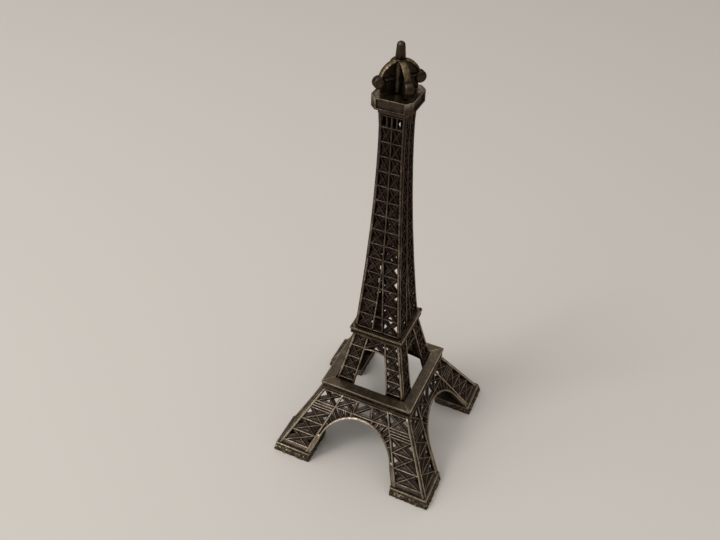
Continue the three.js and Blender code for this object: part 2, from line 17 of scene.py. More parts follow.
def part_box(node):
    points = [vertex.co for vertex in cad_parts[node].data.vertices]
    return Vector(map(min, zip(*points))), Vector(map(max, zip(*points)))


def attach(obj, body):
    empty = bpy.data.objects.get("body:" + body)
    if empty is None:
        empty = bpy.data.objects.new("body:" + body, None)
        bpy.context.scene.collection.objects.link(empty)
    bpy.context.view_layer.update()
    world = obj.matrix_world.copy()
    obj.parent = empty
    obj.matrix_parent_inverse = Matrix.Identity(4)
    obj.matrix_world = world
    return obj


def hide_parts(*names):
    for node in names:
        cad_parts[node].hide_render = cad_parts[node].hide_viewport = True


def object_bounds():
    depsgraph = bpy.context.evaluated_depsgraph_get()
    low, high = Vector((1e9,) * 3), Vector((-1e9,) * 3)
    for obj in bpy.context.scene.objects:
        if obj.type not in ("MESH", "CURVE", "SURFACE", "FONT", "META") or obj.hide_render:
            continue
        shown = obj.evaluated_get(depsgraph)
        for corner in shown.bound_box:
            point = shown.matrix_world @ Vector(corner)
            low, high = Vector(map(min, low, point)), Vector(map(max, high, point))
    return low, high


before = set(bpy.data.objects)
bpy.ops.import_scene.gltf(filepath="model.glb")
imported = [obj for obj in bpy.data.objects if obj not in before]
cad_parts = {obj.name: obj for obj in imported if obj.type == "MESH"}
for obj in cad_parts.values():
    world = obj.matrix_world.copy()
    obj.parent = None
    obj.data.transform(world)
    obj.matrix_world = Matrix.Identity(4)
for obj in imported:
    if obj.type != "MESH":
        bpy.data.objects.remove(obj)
cad_low, cad_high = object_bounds()
tower_height = cad_high.z
print(f"{len(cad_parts)} castings, {tower_height * 1000:.1f} mm tall")

# %% [markdown]
# ## Levels and widths
# The storeys stand on one another, so their heights come from the frame's boxes. A storey's half
# width is a function of height. It could be typed in for each bar, but a function keeps every
# rung, brace and chord on the same raking face.

# %% Storeys as functions of height
MM = 0.001
SEAM = 0.3 * MM
SIDES = ("front", "right", "back", "left")
CORNERS = ("front_right", "back_right", "back_left", "front_left")


def line(z0, value0, z1, value1):
    """A value that changes evenly with height."""
    return lambda z: value0 + (z - z0) * (value1 - value0) / (z1 - z0)


def spread(start, end, count):
    """Evenly spaced values from start to end, with count steps."""
    return [start + (end - start) * step / count for step in range(count + 1)]


plinth_low, plinth_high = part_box("plinth_front_right")
lower_low, lower_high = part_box("lower_frame_front")
deck_1_low, deck_1_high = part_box("deck_1_moulding_front")
middle_low, middle_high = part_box("middle_frame_front")
deck_2_low, deck_2_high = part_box("deck_2_moulding_front")
shaft_low, shaft_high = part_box("shaft_frame_front")
gallery_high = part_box("gallery")[1]
lantern_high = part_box("lantern")[1]
pin_low, pin_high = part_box("antenna_pin")

DECK_1_OVERHANG = 0.5 * MM
DECK_2_OVERHANG = 1.1 * MM
SHAFT_FOOT_INSET = 0.35 * MM
SHAFT_TOP_HALF = 4.65 * MM
SHAFT_FLARE = 1.75
NECK_FLARE = 0.3 * MM
NECK_START = 0.88

deck_1_half = -deck_1_low.y
deck_2_half = -deck_2_low.y
lower_half = line(lower_low.z, -lower_low.y, lower_high.z, deck_1_half - DECK_1_OVERHANG)
middle_half = line(middle_low.z, -middle_low.y, deck_2_low.z, deck_2_half - DECK_2_OVERHANG)
shaft_foot_half = middle_half(deck_2_low.z) - SHAFT_FOOT_INSET


def shaft_half(z):
    """The shaft flares towards its foot."""
    up = (z - deck_2_high.z) / (shaft_high.z - deck_2_high.z)
    up = min(1, max(0, up))
    neck = NECK_FLARE * max(0, up - NECK_START) ** 2 / (1 - NECK_START) ** 2
    return SHAFT_TOP_HALF + neck + (shaft_foot_half - SHAFT_TOP_HALF) * (1 - up) ** SHAFT_FLARE


for label, half, low, high in (
    ("legs", lower_half, lower_low.z, lower_high.z),
    ("middle storey", middle_half, deck_1_high.z, deck_2_low.z),
    ("shaft", shaft_half, shaft_low.z, shaft_high.z),
):
    print(f"{label}: half width {half(low) / MM:.1f} mm at the foot, {half(high) / MM:.1f} mm on top")

# %% [markdown]
# ## Camera
# The tower is looked down on from in front and a little to its right. The camera's place is a
# share of the tower's height, so it would follow a model of another size. Its direction is given
# as a compass turn, a tilt and a small roll, which is how a photographer would describe it.

# %% Camera
CAMERA_PLACE = Vector((0.439, -1.1414, 1.5316))
CAMERA_TURN = math.radians(-23.93)
CAMERA_TILT = math.radians(40.42)
CAMERA_ROLL = math.radians(1.2)
CAMERA_LENS = 37.86
CAMERA_SENSOR = 36

camera_data = bpy.data.cameras.new("camera")
camera_data.lens = CAMERA_LENS
camera_data.sensor_width = CAMERA_SENSOR
camera_data.clip_start = 0.01
camera_data.clip_end = 50
camera = bpy.data.objects.new("camera", camera_data)
bpy.context.scene.collection.objects.link(camera)
turned = Matrix.Rotation(-CAMERA_TURN, 4, "Z")
tilted = Matrix.Rotation(math.pi / 2 - CAMERA_TILT, 4, "X")
rolled = Matrix.Rotation(CAMERA_ROLL, 4, "Z")
camera.matrix_world = Matrix.Translation(CAMERA_PLACE * tower_height) @ turned @ tilted @ rolled
bpy.context.scene.camera = camera
print(f"camera {camera.location.z * 1000:.0f} mm above the floor")

# %% [markdown]
# ## Bars
# A cast lattice bar has a flat front with rounded edges. It could be a box with a Bevel modifier,
# but an eight-sided section that is pushed along its path has few faces and no loose ends. All
# bars are drawn on a flat pattern first: X runs across the side, Z runs up, and Y is the depth
# behind the outer face.

# %% Sections, pushed bars and arched bars
BAR_SIDES = 8
HALF_FLAT = math.pi / BAR_SIDES
INWARD = Vector((0, 1, 0))


def section(bm, width, depth, place):
    """An eight-sided face, flat on its front, back and sides."""
    shape = Matrix.Diagonal((width, depth, 1, 1)) @ Matrix.Rotation(HALF_FLAT, 4, "Z")
    made = bmesh.ops.create_circle(
        bm, cap_ends=True, segments=BAR_SIDES, radius=0.5 / math.cos(HALF_FLAT), matrix=place @ shape
    )
    return made["verts"][0].link_faces[0]


def push(bm, face, offset):
    """Extrudes an end face by an offset, and gives the new end face.

    A lone face stays behind as the far end, but one that closed a shell would be a wall inside it.
    """
    closed_a_shell = all(len(edge.link_faces) > 1 for edge in face.edges)
    pushed = bmesh.ops.extrude_face_region(bm, geom=[face])["geom"]
    verts = [item for item in pushed if isinstance(item, bmesh.types.BMVert)]
    end = next(item for item in pushed if isinstance(item, bmesh.types.BMFace))
    bmesh.ops.translate(bm, verts=verts, vec=offset)
    if closed_a_shell:
        bmesh.ops.delete(bm, geom=[face], context="FACES_ONLY")
    return end


def straight_bar(bm, start, end, width, depth, front):
    """A bar between two points of the pattern, each given as (across, up)."""
    first = Vector((start[0], front + depth / 2, start[1]))
    last = Vector((end[0], front + depth / 2, end[1]))
    along = (last - first).normalized()
    axes = Matrix((INWARD.cross(along), INWARD, along)).transposed().to_4x4()
    push(bm, section(bm, width, depth, Matrix.Translation(first) @ axes), last - first)


def upright_bar(bm, middle, heights, width, depth, front):
    """A chord whose middle line is a function of height. Its section stays level."""
    points = [Vector((middle(z), front + depth / 2, z)) for z in heights]
    face = section(bm, width, depth, Matrix.Translation(points[0]))
    for low, high in zip(points, points[1:]):
        face = push(bm, face, high - low)


def arched_bar(bm, centre_z, radius, start, width, depth, front, steps):
    """A round arch, from the angle start on the right to the same angle on the left."""
    middle = Matrix.Translation((0, front + depth / 2, centre_z))
    place = middle @ Matrix.Rotation(-start, 4, "Y") @ Matrix.Translation((radius, 0, 0))
    face = section(bm, width, depth, place)
    turned = bmesh.ops.spin(
        bm, geom=[face], cent=(0, 0, centre_z), axis=INWARD, angle=2 * start - math.pi, steps=steps
    )
    last = next(item for item in turned["geom_last"] if isinstance(item, bmesh.types.BMFace))
    return face, last


def web_plate(bm, left, right, heights, front, thickness):
    """A thin plate between two edges that are functions of height."""
    verts = [bm.verts.new((edge(heights[0]), front, heights[0])) for edge in (left, right)]
    rail = bm.edges.new(verts)
    faces = []
    for low, high in zip(heights, heights[1:]):
        pushed = bmesh.ops.extrude_edge_only(bm, edges=[rail])["geom"]
        ends = [item for item in pushed if isinstance(item, bmesh.types.BMVert)]
        edges = [item for item in pushed if isinstance(item, bmesh.types.BMEdge)]
        rail = next(edge for edge in edges if set(edge.verts) == set(ends))
        faces += [item for item in pushed if isinstance(item, bmesh.types.BMFace)]
        ends.sort(key=lambda vert: vert.co.x)
        for vert, side in zip(ends, (left, right)):
            vert.co.x = side(high)
            vert.co.z = high
    deep = bmesh.ops.extrude_face_region(bm, geom=faces)["geom"]
    deep_verts = [item for item in deep if isinstance(item, bmesh.types.BMVert)]
    bmesh.ops.translate(bm, verts=deep_verts, vec=INWARD * thickness)


# %% [markdown]
# ## Bays
# The lattice repeats one motif: a bay between two rungs, braced by a cross. Molten metal doesn't
# fill a thin bar, so each bar is a narrow rib on a broad, sunk root, and the roots leave only
# small openings. Chords stand proud, rungs lie a little lower and braces lower still, which lets
# polishing catch the chords first. One flat bar would be quicker, but it would have no dark bed.

# %% Bays of crossed braces
RUNG = 1.3 * MM
RUNG_RIB = 0.55 * MM
BRACE_RIB = 0.45 * MM
TIE_RIB = 0.42 * MM
TIE_ROOT = 2.1 * MM
RUNG_FRONT = 0.1 * MM
BRACE_FRONT = 0.16 * MM
ROOT_FRONT = 0.5 * MM
RIB_BED = 0.2 * MM
CROSS_STEP = 0.04 * MM


def stepped_bar(bm, start, end, rib, root, depth, front):
    """A narrow rib on a broad root; depth is the whole casting's."""
    bed = ROOT_FRONT + front / 2
    straight_bar(bm, start, end, root, depth - bed, bed)
    straight_bar(bm, start, end, rib, ROOT_FRONT + RIB_BED - front, front)


def brace(bm, start, end, root, depth, lower=0.0):
    """One brace; lower sets it behind the brace that it crosses."""
    stepped_bar(bm, start, end, BRACE_RIB, root, depth, BRACE_FRONT + lower)


def tie(bm, start, end, depth):
    """A short tie or post."""
    stepped_bar(bm, start, end, TIE_RIB, TIE_ROOT, depth, RUNG_FRONT)


def crossed_bay(bm, left, right, low, high, share, depth):
    """Two braces between the corners of a bay. Their roots take a share of its height."""
    root = share * (high - low)
    brace(bm, (left(low), low), (right(high), high), root, depth)
    brace(bm, (right(low), low), (left(high), high), root, depth, CROSS_STEP)


def rung(bm, left, right, z, root, depth):
    """A level bar from edge to edge."""
    stepped_bar(bm, (left(z), z), (right(z), z), RUNG_RIB, root, depth, RUNG_FRONT)


def mirror_pattern(bm):
    """Adds the left half of a pattern whose right half is drawn."""
    parts = [*bm.verts, *bm.edges, *bm.faces]
    bmesh.ops.mirror(bm, geom=parts, matrix=Matrix.Identity(4), merge_dist=0, axis="X")


# %% [markdown]
# ## From a flat pattern to a side of the tower
# Three steps turn a pattern into a casting. First each point is moved back to the raking face,
# then a plane cuts the mitre at both corners, and the cuts are closed. The mitre leaves a hair of
# a seam, the groove that runs up the corners of the real thing. Before that, each point notes how
# far it faces out and how proud it stands. The finish reads this note, an attribute called rub, to
# know where hands and the polishing wheel have been. The casting's waviness is a noise with a
# fixed seed, because Blender would otherwise take one from the clock and each run would differ.

# %% Rub, rake, mitre and pieces
RUB_DEPTH = 0.5 * MM
RUB_START = 1.25
ROOT_RUB = 0.3
WOBBLE = 0.09 * MM
WOBBLE_SIZE = 2.0 * MM
WOBBLE_SEED = 1
CUT_REACH = 1e-8
SMOOTH_BARS = math.radians(66)
SMOOTH_BLOCKS = math.radians(32)

noise.seed_set(WOBBLE_SEED)


def note_rub(bm, handled):
    """Outward-facing, proud points are rubbed most; handled tells how much at each height."""
    bmesh.ops.recalc_face_normals(bm, faces=bm.faces)
    rub = bm.verts.layers.float.new("rub")
    bm.normal_update()
    for vert in bm.verts:
        proud = min(1.0, max(ROOT_RUB, RUB_START - max(0.0, vert.co.y) / RUB_DEPTH))
        vert[rub] = max(0.0, -vert.normal.y) * proud * handled(vert.co.z)


def rake(bm, half):
    """Moves a pattern back to the tower's face, with the slight waviness of a casting."""
    for vert in bm.verts:
        wave = noise.noise_vector(vert.co / WOBBLE_SIZE) * WOBBLE
        vert.co.x += wave.x
        vert.co.y += abs(wave.y) - half(vert.co.z)


def mitre(bm):
    """Cuts both ends along the corner planes, less half a seam, and closes the cuts."""
    for side in (1, -1):
        parts = [*bm.verts, *bm.edges, *bm.faces]
        cut = bmesh.ops.bisect_plane(
            bm,
            geom=parts,
            dist=CUT_REACH,
            plane_co=(0, -SEAM / 2, 0),
            plane_no=(side, 1, 0),
            clear_outer=True,
        )
        rims = [item for item in cut["geom_cut"] if isinstance(item, bmesh.types.BMEdge)]
        open_rims = [edge for edge in rims if edge.is_boundary]
        bmesh.ops.holes_fill(bm, edges=open_rims, sides=0)
    bmesh.ops.recalc_face_normals(bm, faces=bm.faces)


def make_piece(name, node, bm, material, turn=0, smooth=SMOOTH_BARS):
    """Turns a copy of a bmesh by quarter turns, and hands it to the frame in place of its casting."""
    mesh = bpy.data.meshes.new(name)
    bm.to_mesh(mesh)
    mesh.transform(Matrix.Rotation(turn * math.pi / 2, 4, "Z"))
    mesh.shade_smooth()
    mesh.set_sharp_from_angle(angle=smooth)
    mesh.materials.append(material)
    piece = bpy.data.objects.new(name, mesh)
    bpy.context.scene.collection.objects.link(piece)
    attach(piece, "root")
    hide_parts(node)
    return piece


def make_four(prefix, node_prefix, names, bm, material, smooth=SMOOTH_BARS):
    """The same casting at each quarter turn round the tower."""
    for turn, name in enumerate(names):
        make_piece(f"{prefix}_{name}", f"{node_prefix}_{name}", bm, material, turn, smooth)
    triangles = sum(len(face.verts) - 2 for face in bm.faces)
    loose = sum(1 for edge in bm.edges if not edge.is_manifold)
    print(f"{prefix}: 4 pieces of {triangles} triangles, {loose} open edges")
    bm.free()


# %% [markdown]
# ## Finish: antique bronze
# The casting is plated, darkened with an acid bath and rubbed back. So there are three colours:
# near black in the hollows, brown on the open faces and pale yellow metal where it is worn. The
# near black is partly patina and partly painted shade. One shader group makes this mix from
# the rub note, two noises and the openness of the spot, so the lattice, the platforms, the plinths
# and the lantern can share it and differ only in their numbers. The openness comes from an
# Ambient Occlusion node with a reach of a millimetre. The darkening it gives is partly the acid's
# patina left in narrow corners, where no cloth gets at it, and partly painted shade in the creases.
# A second group gives the fine grain of the mould and the soft dust that gathers on level faces.

# %% Shader group helpers
SOCKET_TYPES = {"color": "NodeSocketColor", "value": "NodeSocketFloat", "vector": "NodeSocketVector"}


def new_group(name, inputs, outputs):
    """An empty shader group with named sockets."""
    group = bpy.data.node_groups.new(name, "ShaderNodeTree")
    for label, kind in inputs:
        group.interface.new_socket(label, in_out="INPUT", socket_type=SOCKET_TYPES[kind])
    for label, kind in outputs:
        group.interface.new_socket(label, in_out="OUTPUT", socket_type=SOCKET_TYPES[kind])
    return group, group.nodes.new("NodeGroupInput"), group.nodes.new("NodeGroupOutput")


def maths(tree, operation, first, second=None, clamp=False):
    """A Math node; each input is a socket or a number."""
    node = tree.nodes.new("ShaderNodeMath")
    node.operation = operation
    node.use_clamp = clamp
    for socket, value in zip(node.inputs, (first, second)):
        if isinstance(value, bpy.types.NodeSocket):
            tree.links.new(value, socket)
        elif value is not None:
            socket.default_value = value
    return node.outputs[0]


def mix_colors(tree, share, first, second):
    """A colour mix; share is a socket, and each colour is a socket or four numbers."""
    node = tree.nodes.new("ShaderNodeMix")
    node.data_type = "RGBA"
    tree.links.new(share, node.inputs["Factor"])
    for label, value in (("A", first), ("B", second)):
        socket = next(s for s in node.inputs if s.name == label and s.type == "RGBA")
        if isinstance(value, bpy.types.NodeSocket):
            tree.links.new(value, socket)
        else:
            socket.default_value = value
    return next(s for s in node.outputs if s.type == "RGBA")


def noise_value(tree, place, scale, detail, roughness=0.55):
    """A noise between 0 and 1; scale is in features to the metre."""
    node = tree.nodes.new("ShaderNodeTexNoise")
    node.inputs["Scale"].default_value = scale
    node.inputs["Detail"].default_value = detail
    node.inputs["Roughness"].default_value = roughness
    tree.links.new(place, node.inputs["Vector"])
    return node.outputs["Fac"]


def ramp(tree, value, low, high):
    """Stretches a value so that low becomes 0 and high becomes 1, with soft ends."""
    node = tree.nodes.new("ShaderNodeMapRange")
    node.interpolation_type = "SMOOTHSTEP"
    tree.links.new(value, node.inputs["Value"])
    node.inputs["From Min"].default_value = low
    node.inputs["From Max"].default_value = high
    return node.outputs["Result"]


# %% Group 1: patina, from hollow to worn metal
PATCH_SCALE = 230
PATCH_SHARE = 0.9
SCUFF_SCALE = 1400
SCUFF_SHARE = 1.1
# Strength of the crevice darkening: partly patina, partly painted shade.
CREVICE_PATINA_AND_SHADE = 0.9
OPEN_FACE_REACH = (-0.25, 0.45)
WORN_REACH = (0.4, 1.15)
PLATING_ROUGHNESS = 0.29
SCUFF_ROUGHNESS = 0.18
WORN_POLISH = 0.16

patina, patina_in, patina_out = new_group(
    "bronze_patina",
    [
        ("Place", "vector"),
        ("Rub", "value"),
        ("Openness", "value"),
        ("Wear", "value"),
        ("Hollow Color", "color"),
        ("Face Color", "color"),
        ("Worn Color", "color"),
    ],
    [("Color", "color"), ("Roughness", "value")],
)
patches = noise_value(patina, patina_in.outputs["Place"], PATCH_SCALE, 4)
scuffs = noise_value(patina, patina_in.outputs["Place"], SCUFF_SCALE, 3, 0.65)
patchy = maths(patina, "MULTIPLY", patches, PATCH_SHARE)
scuffed = maths(patina, "MULTIPLY", scuffs, SCUFF_SHARE)
uneven = maths(patina, "ADD", patchy, scuffed)
# Painted shade, with the patina: the occlusion term darkens creases before the rub note and the noises
# set the colour.
closed = maths(patina, "SUBTRACT", patina_in.outputs["Openness"], 1)
crevice_patina_and_shade = maths(patina, "MULTIPLY", closed, CREVICE_PATINA_AND_SHADE)
rubbed = maths(patina, "ADD", patina_in.outputs["Rub"], crevice_patina_and_shade)
reach = maths(patina, "ADD", rubbed, maths(patina, "SUBTRACT", uneven, 1.0))
open_face = ramp(patina, reach, *OPEN_FACE_REACH)
worn = ramp(patina, maths(patina, "MULTIPLY", reach, patina_in.outputs["Wear"]), *WORN_REACH)
base = mix_colors(patina, open_face, patina_in.outputs["Hollow Color"], patina_in.outputs["Face Color"])
color = mix_colors(patina, worn, base, patina_in.outputs["Worn Color"])
polish = maths(patina, "MULTIPLY", worn, WORN_POLISH)
scratched = maths(patina, "MULTIPLY", scuffs, SCUFF_ROUGHNESS)
rough = maths(patina, "SUBTRACT", maths(patina, "ADD", PLATING_ROUGHNESS, scratched), polish)
patina.links.new(color, patina_out.inputs["Color"])
patina.links.new(rough, patina_out.inputs["Roughness"])
print("patina group:", len(patina.nodes), "nodes")

# %% Group 2: mould grain and dust
GRAIN_SCALE = 2600
GRAIN_SHARE = 0.45
PIT_SCALE = 900
PIT_SHARE = 0.55
PIT_EDGES = (0.30, 0.62)
LEVEL_ENOUGH = (0.55, 0.98)

grain, grain_in, grain_out = new_group(
    "mould_grain",
    [("Place", "vector"), ("Color", "color"), ("Dust Color", "color"), ("Dust", "value")],
    [("Color", "color"), ("Height", "value")],
)
fine = noise_value(grain, grain_in.outputs["Place"], GRAIN_SCALE, 3, 0.6)
pits = ramp(grain, noise_value(grain, grain_in.outputs["Place"], PIT_SCALE, 2), *PIT_EDGES)
fine_height = maths(grain, "MULTIPLY", fine, GRAIN_SHARE)
height = maths(grain, "ADD", fine_height, maths(grain, "MULTIPLY", pits, PIT_SHARE))
facing = grain.nodes.new("ShaderNodeNewGeometry")
split = grain.nodes.new("ShaderNodeSeparateXYZ")
grain.links.new(facing.outputs["Normal"], split.inputs["Vector"])
level = ramp(grain, split.outputs["Z"], *LEVEL_ENOUGH)
settled = maths(grain, "MULTIPLY", maths(grain, "MULTIPLY", level, grain_in.outputs["Dust"]), fine)
dusty = mix_colors(grain, settled, grain_in.outputs["Color"], grain_in.outputs["Dust Color"])
grain.links.new(dusty, grain_out.inputs["Color"])
grain.links.new(height, grain_out.inputs["Height"])
print("grain group:", len(grain.nodes), "nodes")


# %% The four finishes
HOLLOW = (0.010, 0.0062, 0.0052)
FACE = (0.064, 0.047, 0.037)
PLATFORM_FACE = (0.098, 0.074, 0.048)
PLINTH_FACE = (0.085, 0.066, 0.042)
LANTERN_FACE = (0.050, 0.038, 0.026)
WORN = (0.47, 0.39, 0.285)
LANTERN_WORN = (0.42, 0.31, 0.16)
DUST_COLOR = (0.42, 0.39, 0.35, 1)
EDGE_TINT = (0.6, 0.55, 0.5, 1)
WEAR = 0.95
CREVICE_SIZE = 1.0 * MM
CREVICE_SAMPLES = 8
BUMP_HEIGHT = 0.12 * MM


def bronze(name, face, worn_color, dust, bump, metallic):
    """One antique bronze finish: colours are linear red, green and blue."""
    material = bpy.data.materials.new(name)
    material.use_nodes = True
    tree = material.node_tree
    tree.nodes.clear()
    surface = tree.nodes.new("ShaderNodeOutputMaterial")
    shader = tree.nodes.new("ShaderNodeBsdfPrincipled")
    place = tree.nodes.new("ShaderNodeTexCoord").outputs["Object"]
    note = tree.nodes.new("ShaderNodeAttribute")
    note.attribute_name = "rub"
    patina_node = tree.nodes.new("ShaderNodeGroup")
    patina_node.node_tree = patina
    grain_node = tree.nodes.new("ShaderNodeGroup")
    grain_node.node_tree = grain
    bumps = tree.nodes.new("ShaderNodeBump")
    patina_node.inputs["Wear"].default_value = WEAR
    for label, value in (("Hollow Color", HOLLOW), ("Face Color", face), ("Worn Color", worn_color)):
        patina_node.inputs[label].default_value = (*value, 1)
    grain_node.inputs["Dust"].default_value = dust
    grain_node.inputs["Dust Color"].default_value = DUST_COLOR
    shader.inputs["Metallic"].default_value = metallic
    shader.inputs["Specular Tint"].default_value = EDGE_TINT
    bumps.inputs["Strength"].default_value = bump
    bumps.inputs["Distance"].default_value = BUMP_HEIGHT
    tree.links.new(place, patina_node.inputs["Place"])
    tree.links.new(place, grain_node.inputs["Place"])
    tree.links.new(note.outputs["Fac"], patina_node.inputs["Rub"])
    # The Ambient Occlusion darkens narrow corners: partly patina left in them, partly painted shade.
    crevice = tree.nodes.new("ShaderNodeAmbientOcclusion")
    crevice.samples = CREVICE_SAMPLES
    crevice.inputs["Distance"].default_value = CREVICE_SIZE
    tree.links.new(crevice.outputs["AO"], patina_node.inputs["Openness"])
    tree.links.new(patina_node.outputs["Color"], grain_node.inputs["Color"])
    tree.links.new(grain_node.outputs["Color"], shader.inputs["Base Color"])
    tree.links.new(patina_node.outputs["Roughness"], shader.inputs["Roughness"])
    tree.links.new(grain_node.outputs["Height"], bumps.inputs["Height"])
    tree.links.new(bumps.outputs["Normal"], shader.inputs["Normal"])
    tree.links.new(shader.outputs["BSDF"], surface.inputs["Surface"])
    print("finish", name)
    return material


lattice_finish = bronze("cast_lattice_bronze", FACE, WORN, dust=0.05, bump=0.4, metallic=1.0)
platform_finish = bronze(
    "rubbed_platform_bronze", PLATFORM_FACE, WORN, dust=0.08, bump=0.4, metallic=1.0
)
plinth_finish = bronze("rough_plinth_bronze", PLINTH_FACE, WORN, dust=0.08, bump=0.6, metallic=0.95)
lantern_finish = bronze(
    "lantern_bronze", LANTERN_FACE, LANTERN_WORN, dust=0.03, bump=0.4, metallic=1.0
)

# %% [markdown]
# ## Lower storey
# Each side has two half-legs that lean in, a round arch between them and a girder above. The
# arch's ring is deeper than the lattice, so its soffit shows from below. A leg has three crossed
# bays, a short blind bay with two bars across it, and a crossed bay beside the girder. Only the
# right half-leg and spandrel are drawn; a mirror gives the left ones, and the arch and the
# girder, which cross the middle, are added after it.

# %% Lower storey: edges and arch
LATTICE_DEPTH = 1.3 * MM
LOWER_ROOTS = 0.52
LOWER_RUNG_ROOT = 2.3 * MM
GIRDER_ROOTS = 0.38
SILL_FRONT = 0.3 * MM
FOOT_FRONT = 0.08 * MM
LOWER_HANDLED = (1.2, 1.05)
LOWER_CORNER_CHORD = 2 * MM
CORNER_CHORD_WIDTH = 1.5 * MM
CORNER_GROOVE = 0.25 * MM
LOWER_NECK = 9.4 * MM
LOWER_INNER_CHORD = 1.1 * MM
FOOT_BAR = 2.9 * MM
LOWER_SILL = 2.2 * MM
BRACED_BAYS = 3
SHORT_BAY = 3.2 * MM
SHORT_BAY_STEPS = 3
GIRDER_DEPTH = 5.9 * MM
ARCH_RIM = 1.1 * MM
ARCH_CLEARANCE = 0.15 * MM
ARCH_SOFFIT_DEPTH = 2.6 * MM
SPRINGING_HEIGHT = 6.8 * MM
SPRINGING_BAR = 2.7 * MM
SPANDREL_TIES = 5
SPANDREL_FROM = math.radians(38)
SPANDREL_TO = math.radians(75)
FOOT_BAR_RISE = 0.3
CHORD_STEPS = 9
HAUNCH_STEPS = 12
FOOT_BAR_STEPS = 8
ARCH_STEPS = 36

plinth_inner = plinth_low.x
lower_top = deck_1_low.z - SEAM
girder_z = lower_top - GIRDER_DEPTH
lower_outer = lambda z: lower_half(z) - LOWER_CORNER_CHORD
lower_inner = line(plinth_high.z, plinth_inner + FOOT_BAR, lower_top, LOWER_NECK + LOWER_INNER_CHORD)
lower_gap = lambda z: lower_inner(z) - LOWER_INNER_CHORD

spring_z = plinth_high.z + SPRINGING_HEIGHT
spring_x = lower_inner(spring_z) - SPRINGING_BAR
crown_z = girder_z - RUNG / 2 - ARCH_CLEARANCE - ARCH_RIM
arch_rise = crown_z - spring_z
arch_radius = (spring_x**2 + arch_rise**2) / (2 * arch_rise)
arch_z = crown_z - arch_radius
spring_angle = math.atan2(spring_z - arch_z, spring_x)
print(f"arch radius {arch_radius / MM:.1f} mm, crown {crown_z / MM:.1f} mm above the table")

# %% Lower storey: legs, spandrels, arch and girder
lower = bmesh.new()
corner_middle = lambda z: lower_half(z) - CORNER_GROOVE - CORNER_CHORD_WIDTH / 2
inner_middle = lambda z: lower_inner(z) - LOWER_INNER_CHORD / 2
leg_levels = spread(lower_low.z, lower_high.z, CHORD_STEPS)
upright_bar(lower, corner_middle, leg_levels, CORNER_CHORD_WIDTH, LATTICE_DEPTH, 0)
upright_bar(lower, inner_middle, leg_levels, LOWER_INNER_CHORD, LATTICE_DEPTH, 0)

girder_top = lower_high.z - RUNG / 2
leg_rungs = spread(lower_low.z + LOWER_SILL - RUNG / 2, girder_z - SHORT_BAY, BRACED_BAYS)
for low, high in zip(leg_rungs, leg_rungs[1:]):
    crossed_bay(lower, lower_inner, lower_outer, low, high, LOWER_ROOTS, LATTICE_DEPTH)
crossed_bay(lower, lower_inner, lower_outer, girder_z, girder_top, GIRDER_ROOTS, LATTICE_DEPTH)
for z in leg_rungs:
    rung(lower, inner_middle, corner_middle, z, LOWER_RUNG_ROOT, LATTICE_DEPTH)
sill = [lower_low.z, leg_rungs[0]]
web_plate(lower, inner_middle, corner_middle, sill, SILL_FRONT, LATTICE_DEPTH - SILL_FRONT)
blind = [leg_rungs[-1], girder_z]
web_plate(lower, inner_middle, corner_middle, blind, ROOT_FRONT, LATTICE_DEPTH - ROOT_FRONT)
for z in spread(*blind, SHORT_BAY_STEPS)[1:-1]:
    tie(lower, (inner_middle(z), z), (corner_middle(z), z), LATTICE_DEPTH)

rim_radius = arch_radius + ARCH_RIM
gap_slope = lower_gap(0) - lower_gap(1)


def spandrel_reach(angle):
    """From the arch's centre to the girder or the leg, whichever is nearer."""
    to_girder = (girder_z - arch_z) / math.sin(angle)
    leg_x = lower_gap(arch_z) + LOWER_INNER_CHORD / 2
    to_leg = leg_x / (math.cos(angle) + gap_slope * math.sin(angle))
    return min(to_girder, to_leg)


def on_arch(radius, angle):
    """A point of the pattern at an angle round the arch."""
    return radius * math.cos(angle), arch_z + radius * math.sin(angle)


spokes = spread(SPANDREL_FROM, SPANDREL_TO, SPANDREL_TIES)
for angle in spokes:
    start = on_arch(rim_radius - ARCH_RIM / 2, angle)
    end = on_arch(spandrel_reach(angle), angle)
    tie(lower, start, end, LATTICE_DEPTH)


def rim_edge(z):
    """The arch's ring, or the straight bar under its springing."""
    if z < spring_z:
        return line(lower_low.z, plinth_inner, spring_z, spring_x)(z) + ARCH_RIM / 2
    return math.sqrt(max(0, (rim_radius - ARCH_RIM / 2) ** 2 - (z - arch_z) ** 2))


haunch = spread(lower_low.z, on_arch(rim_radius, spokes[0])[1], HAUNCH_STEPS)
web_plate(lower, rim_edge, inner_middle, haunch, ROOT_FRONT, LATTICE_DEPTH - ROOT_FRONT)
foot_bar = spread(lower_low.z, spring_z + FOOT_BAR_RISE * SPRINGING_HEIGHT, FOOT_BAR_STEPS)
web_plate(lower, rim_edge, inner_middle, foot_bar, FOOT_FRONT, LATTICE_DEPTH - FOOT_FRONT)
mirror_pattern(lower)

ring_radius = arch_radius + ARCH_RIM / 2
ring_ends = arched_bar(
    lower, arch_z, ring_radius, spring_angle, ARCH_RIM, ARCH_SOFFIT_DEPTH, 0, ARCH_STEPS
)
foot_drop = Vector((plinth_inner - spring_x, 0, lower_low.z - spring_z))
for end in ring_ends:
    side = 1 if end.calc_center_median().x > 0 else -1
    push(lower, end, Vector((side * foot_drop.x, 0, foot_drop.z)))

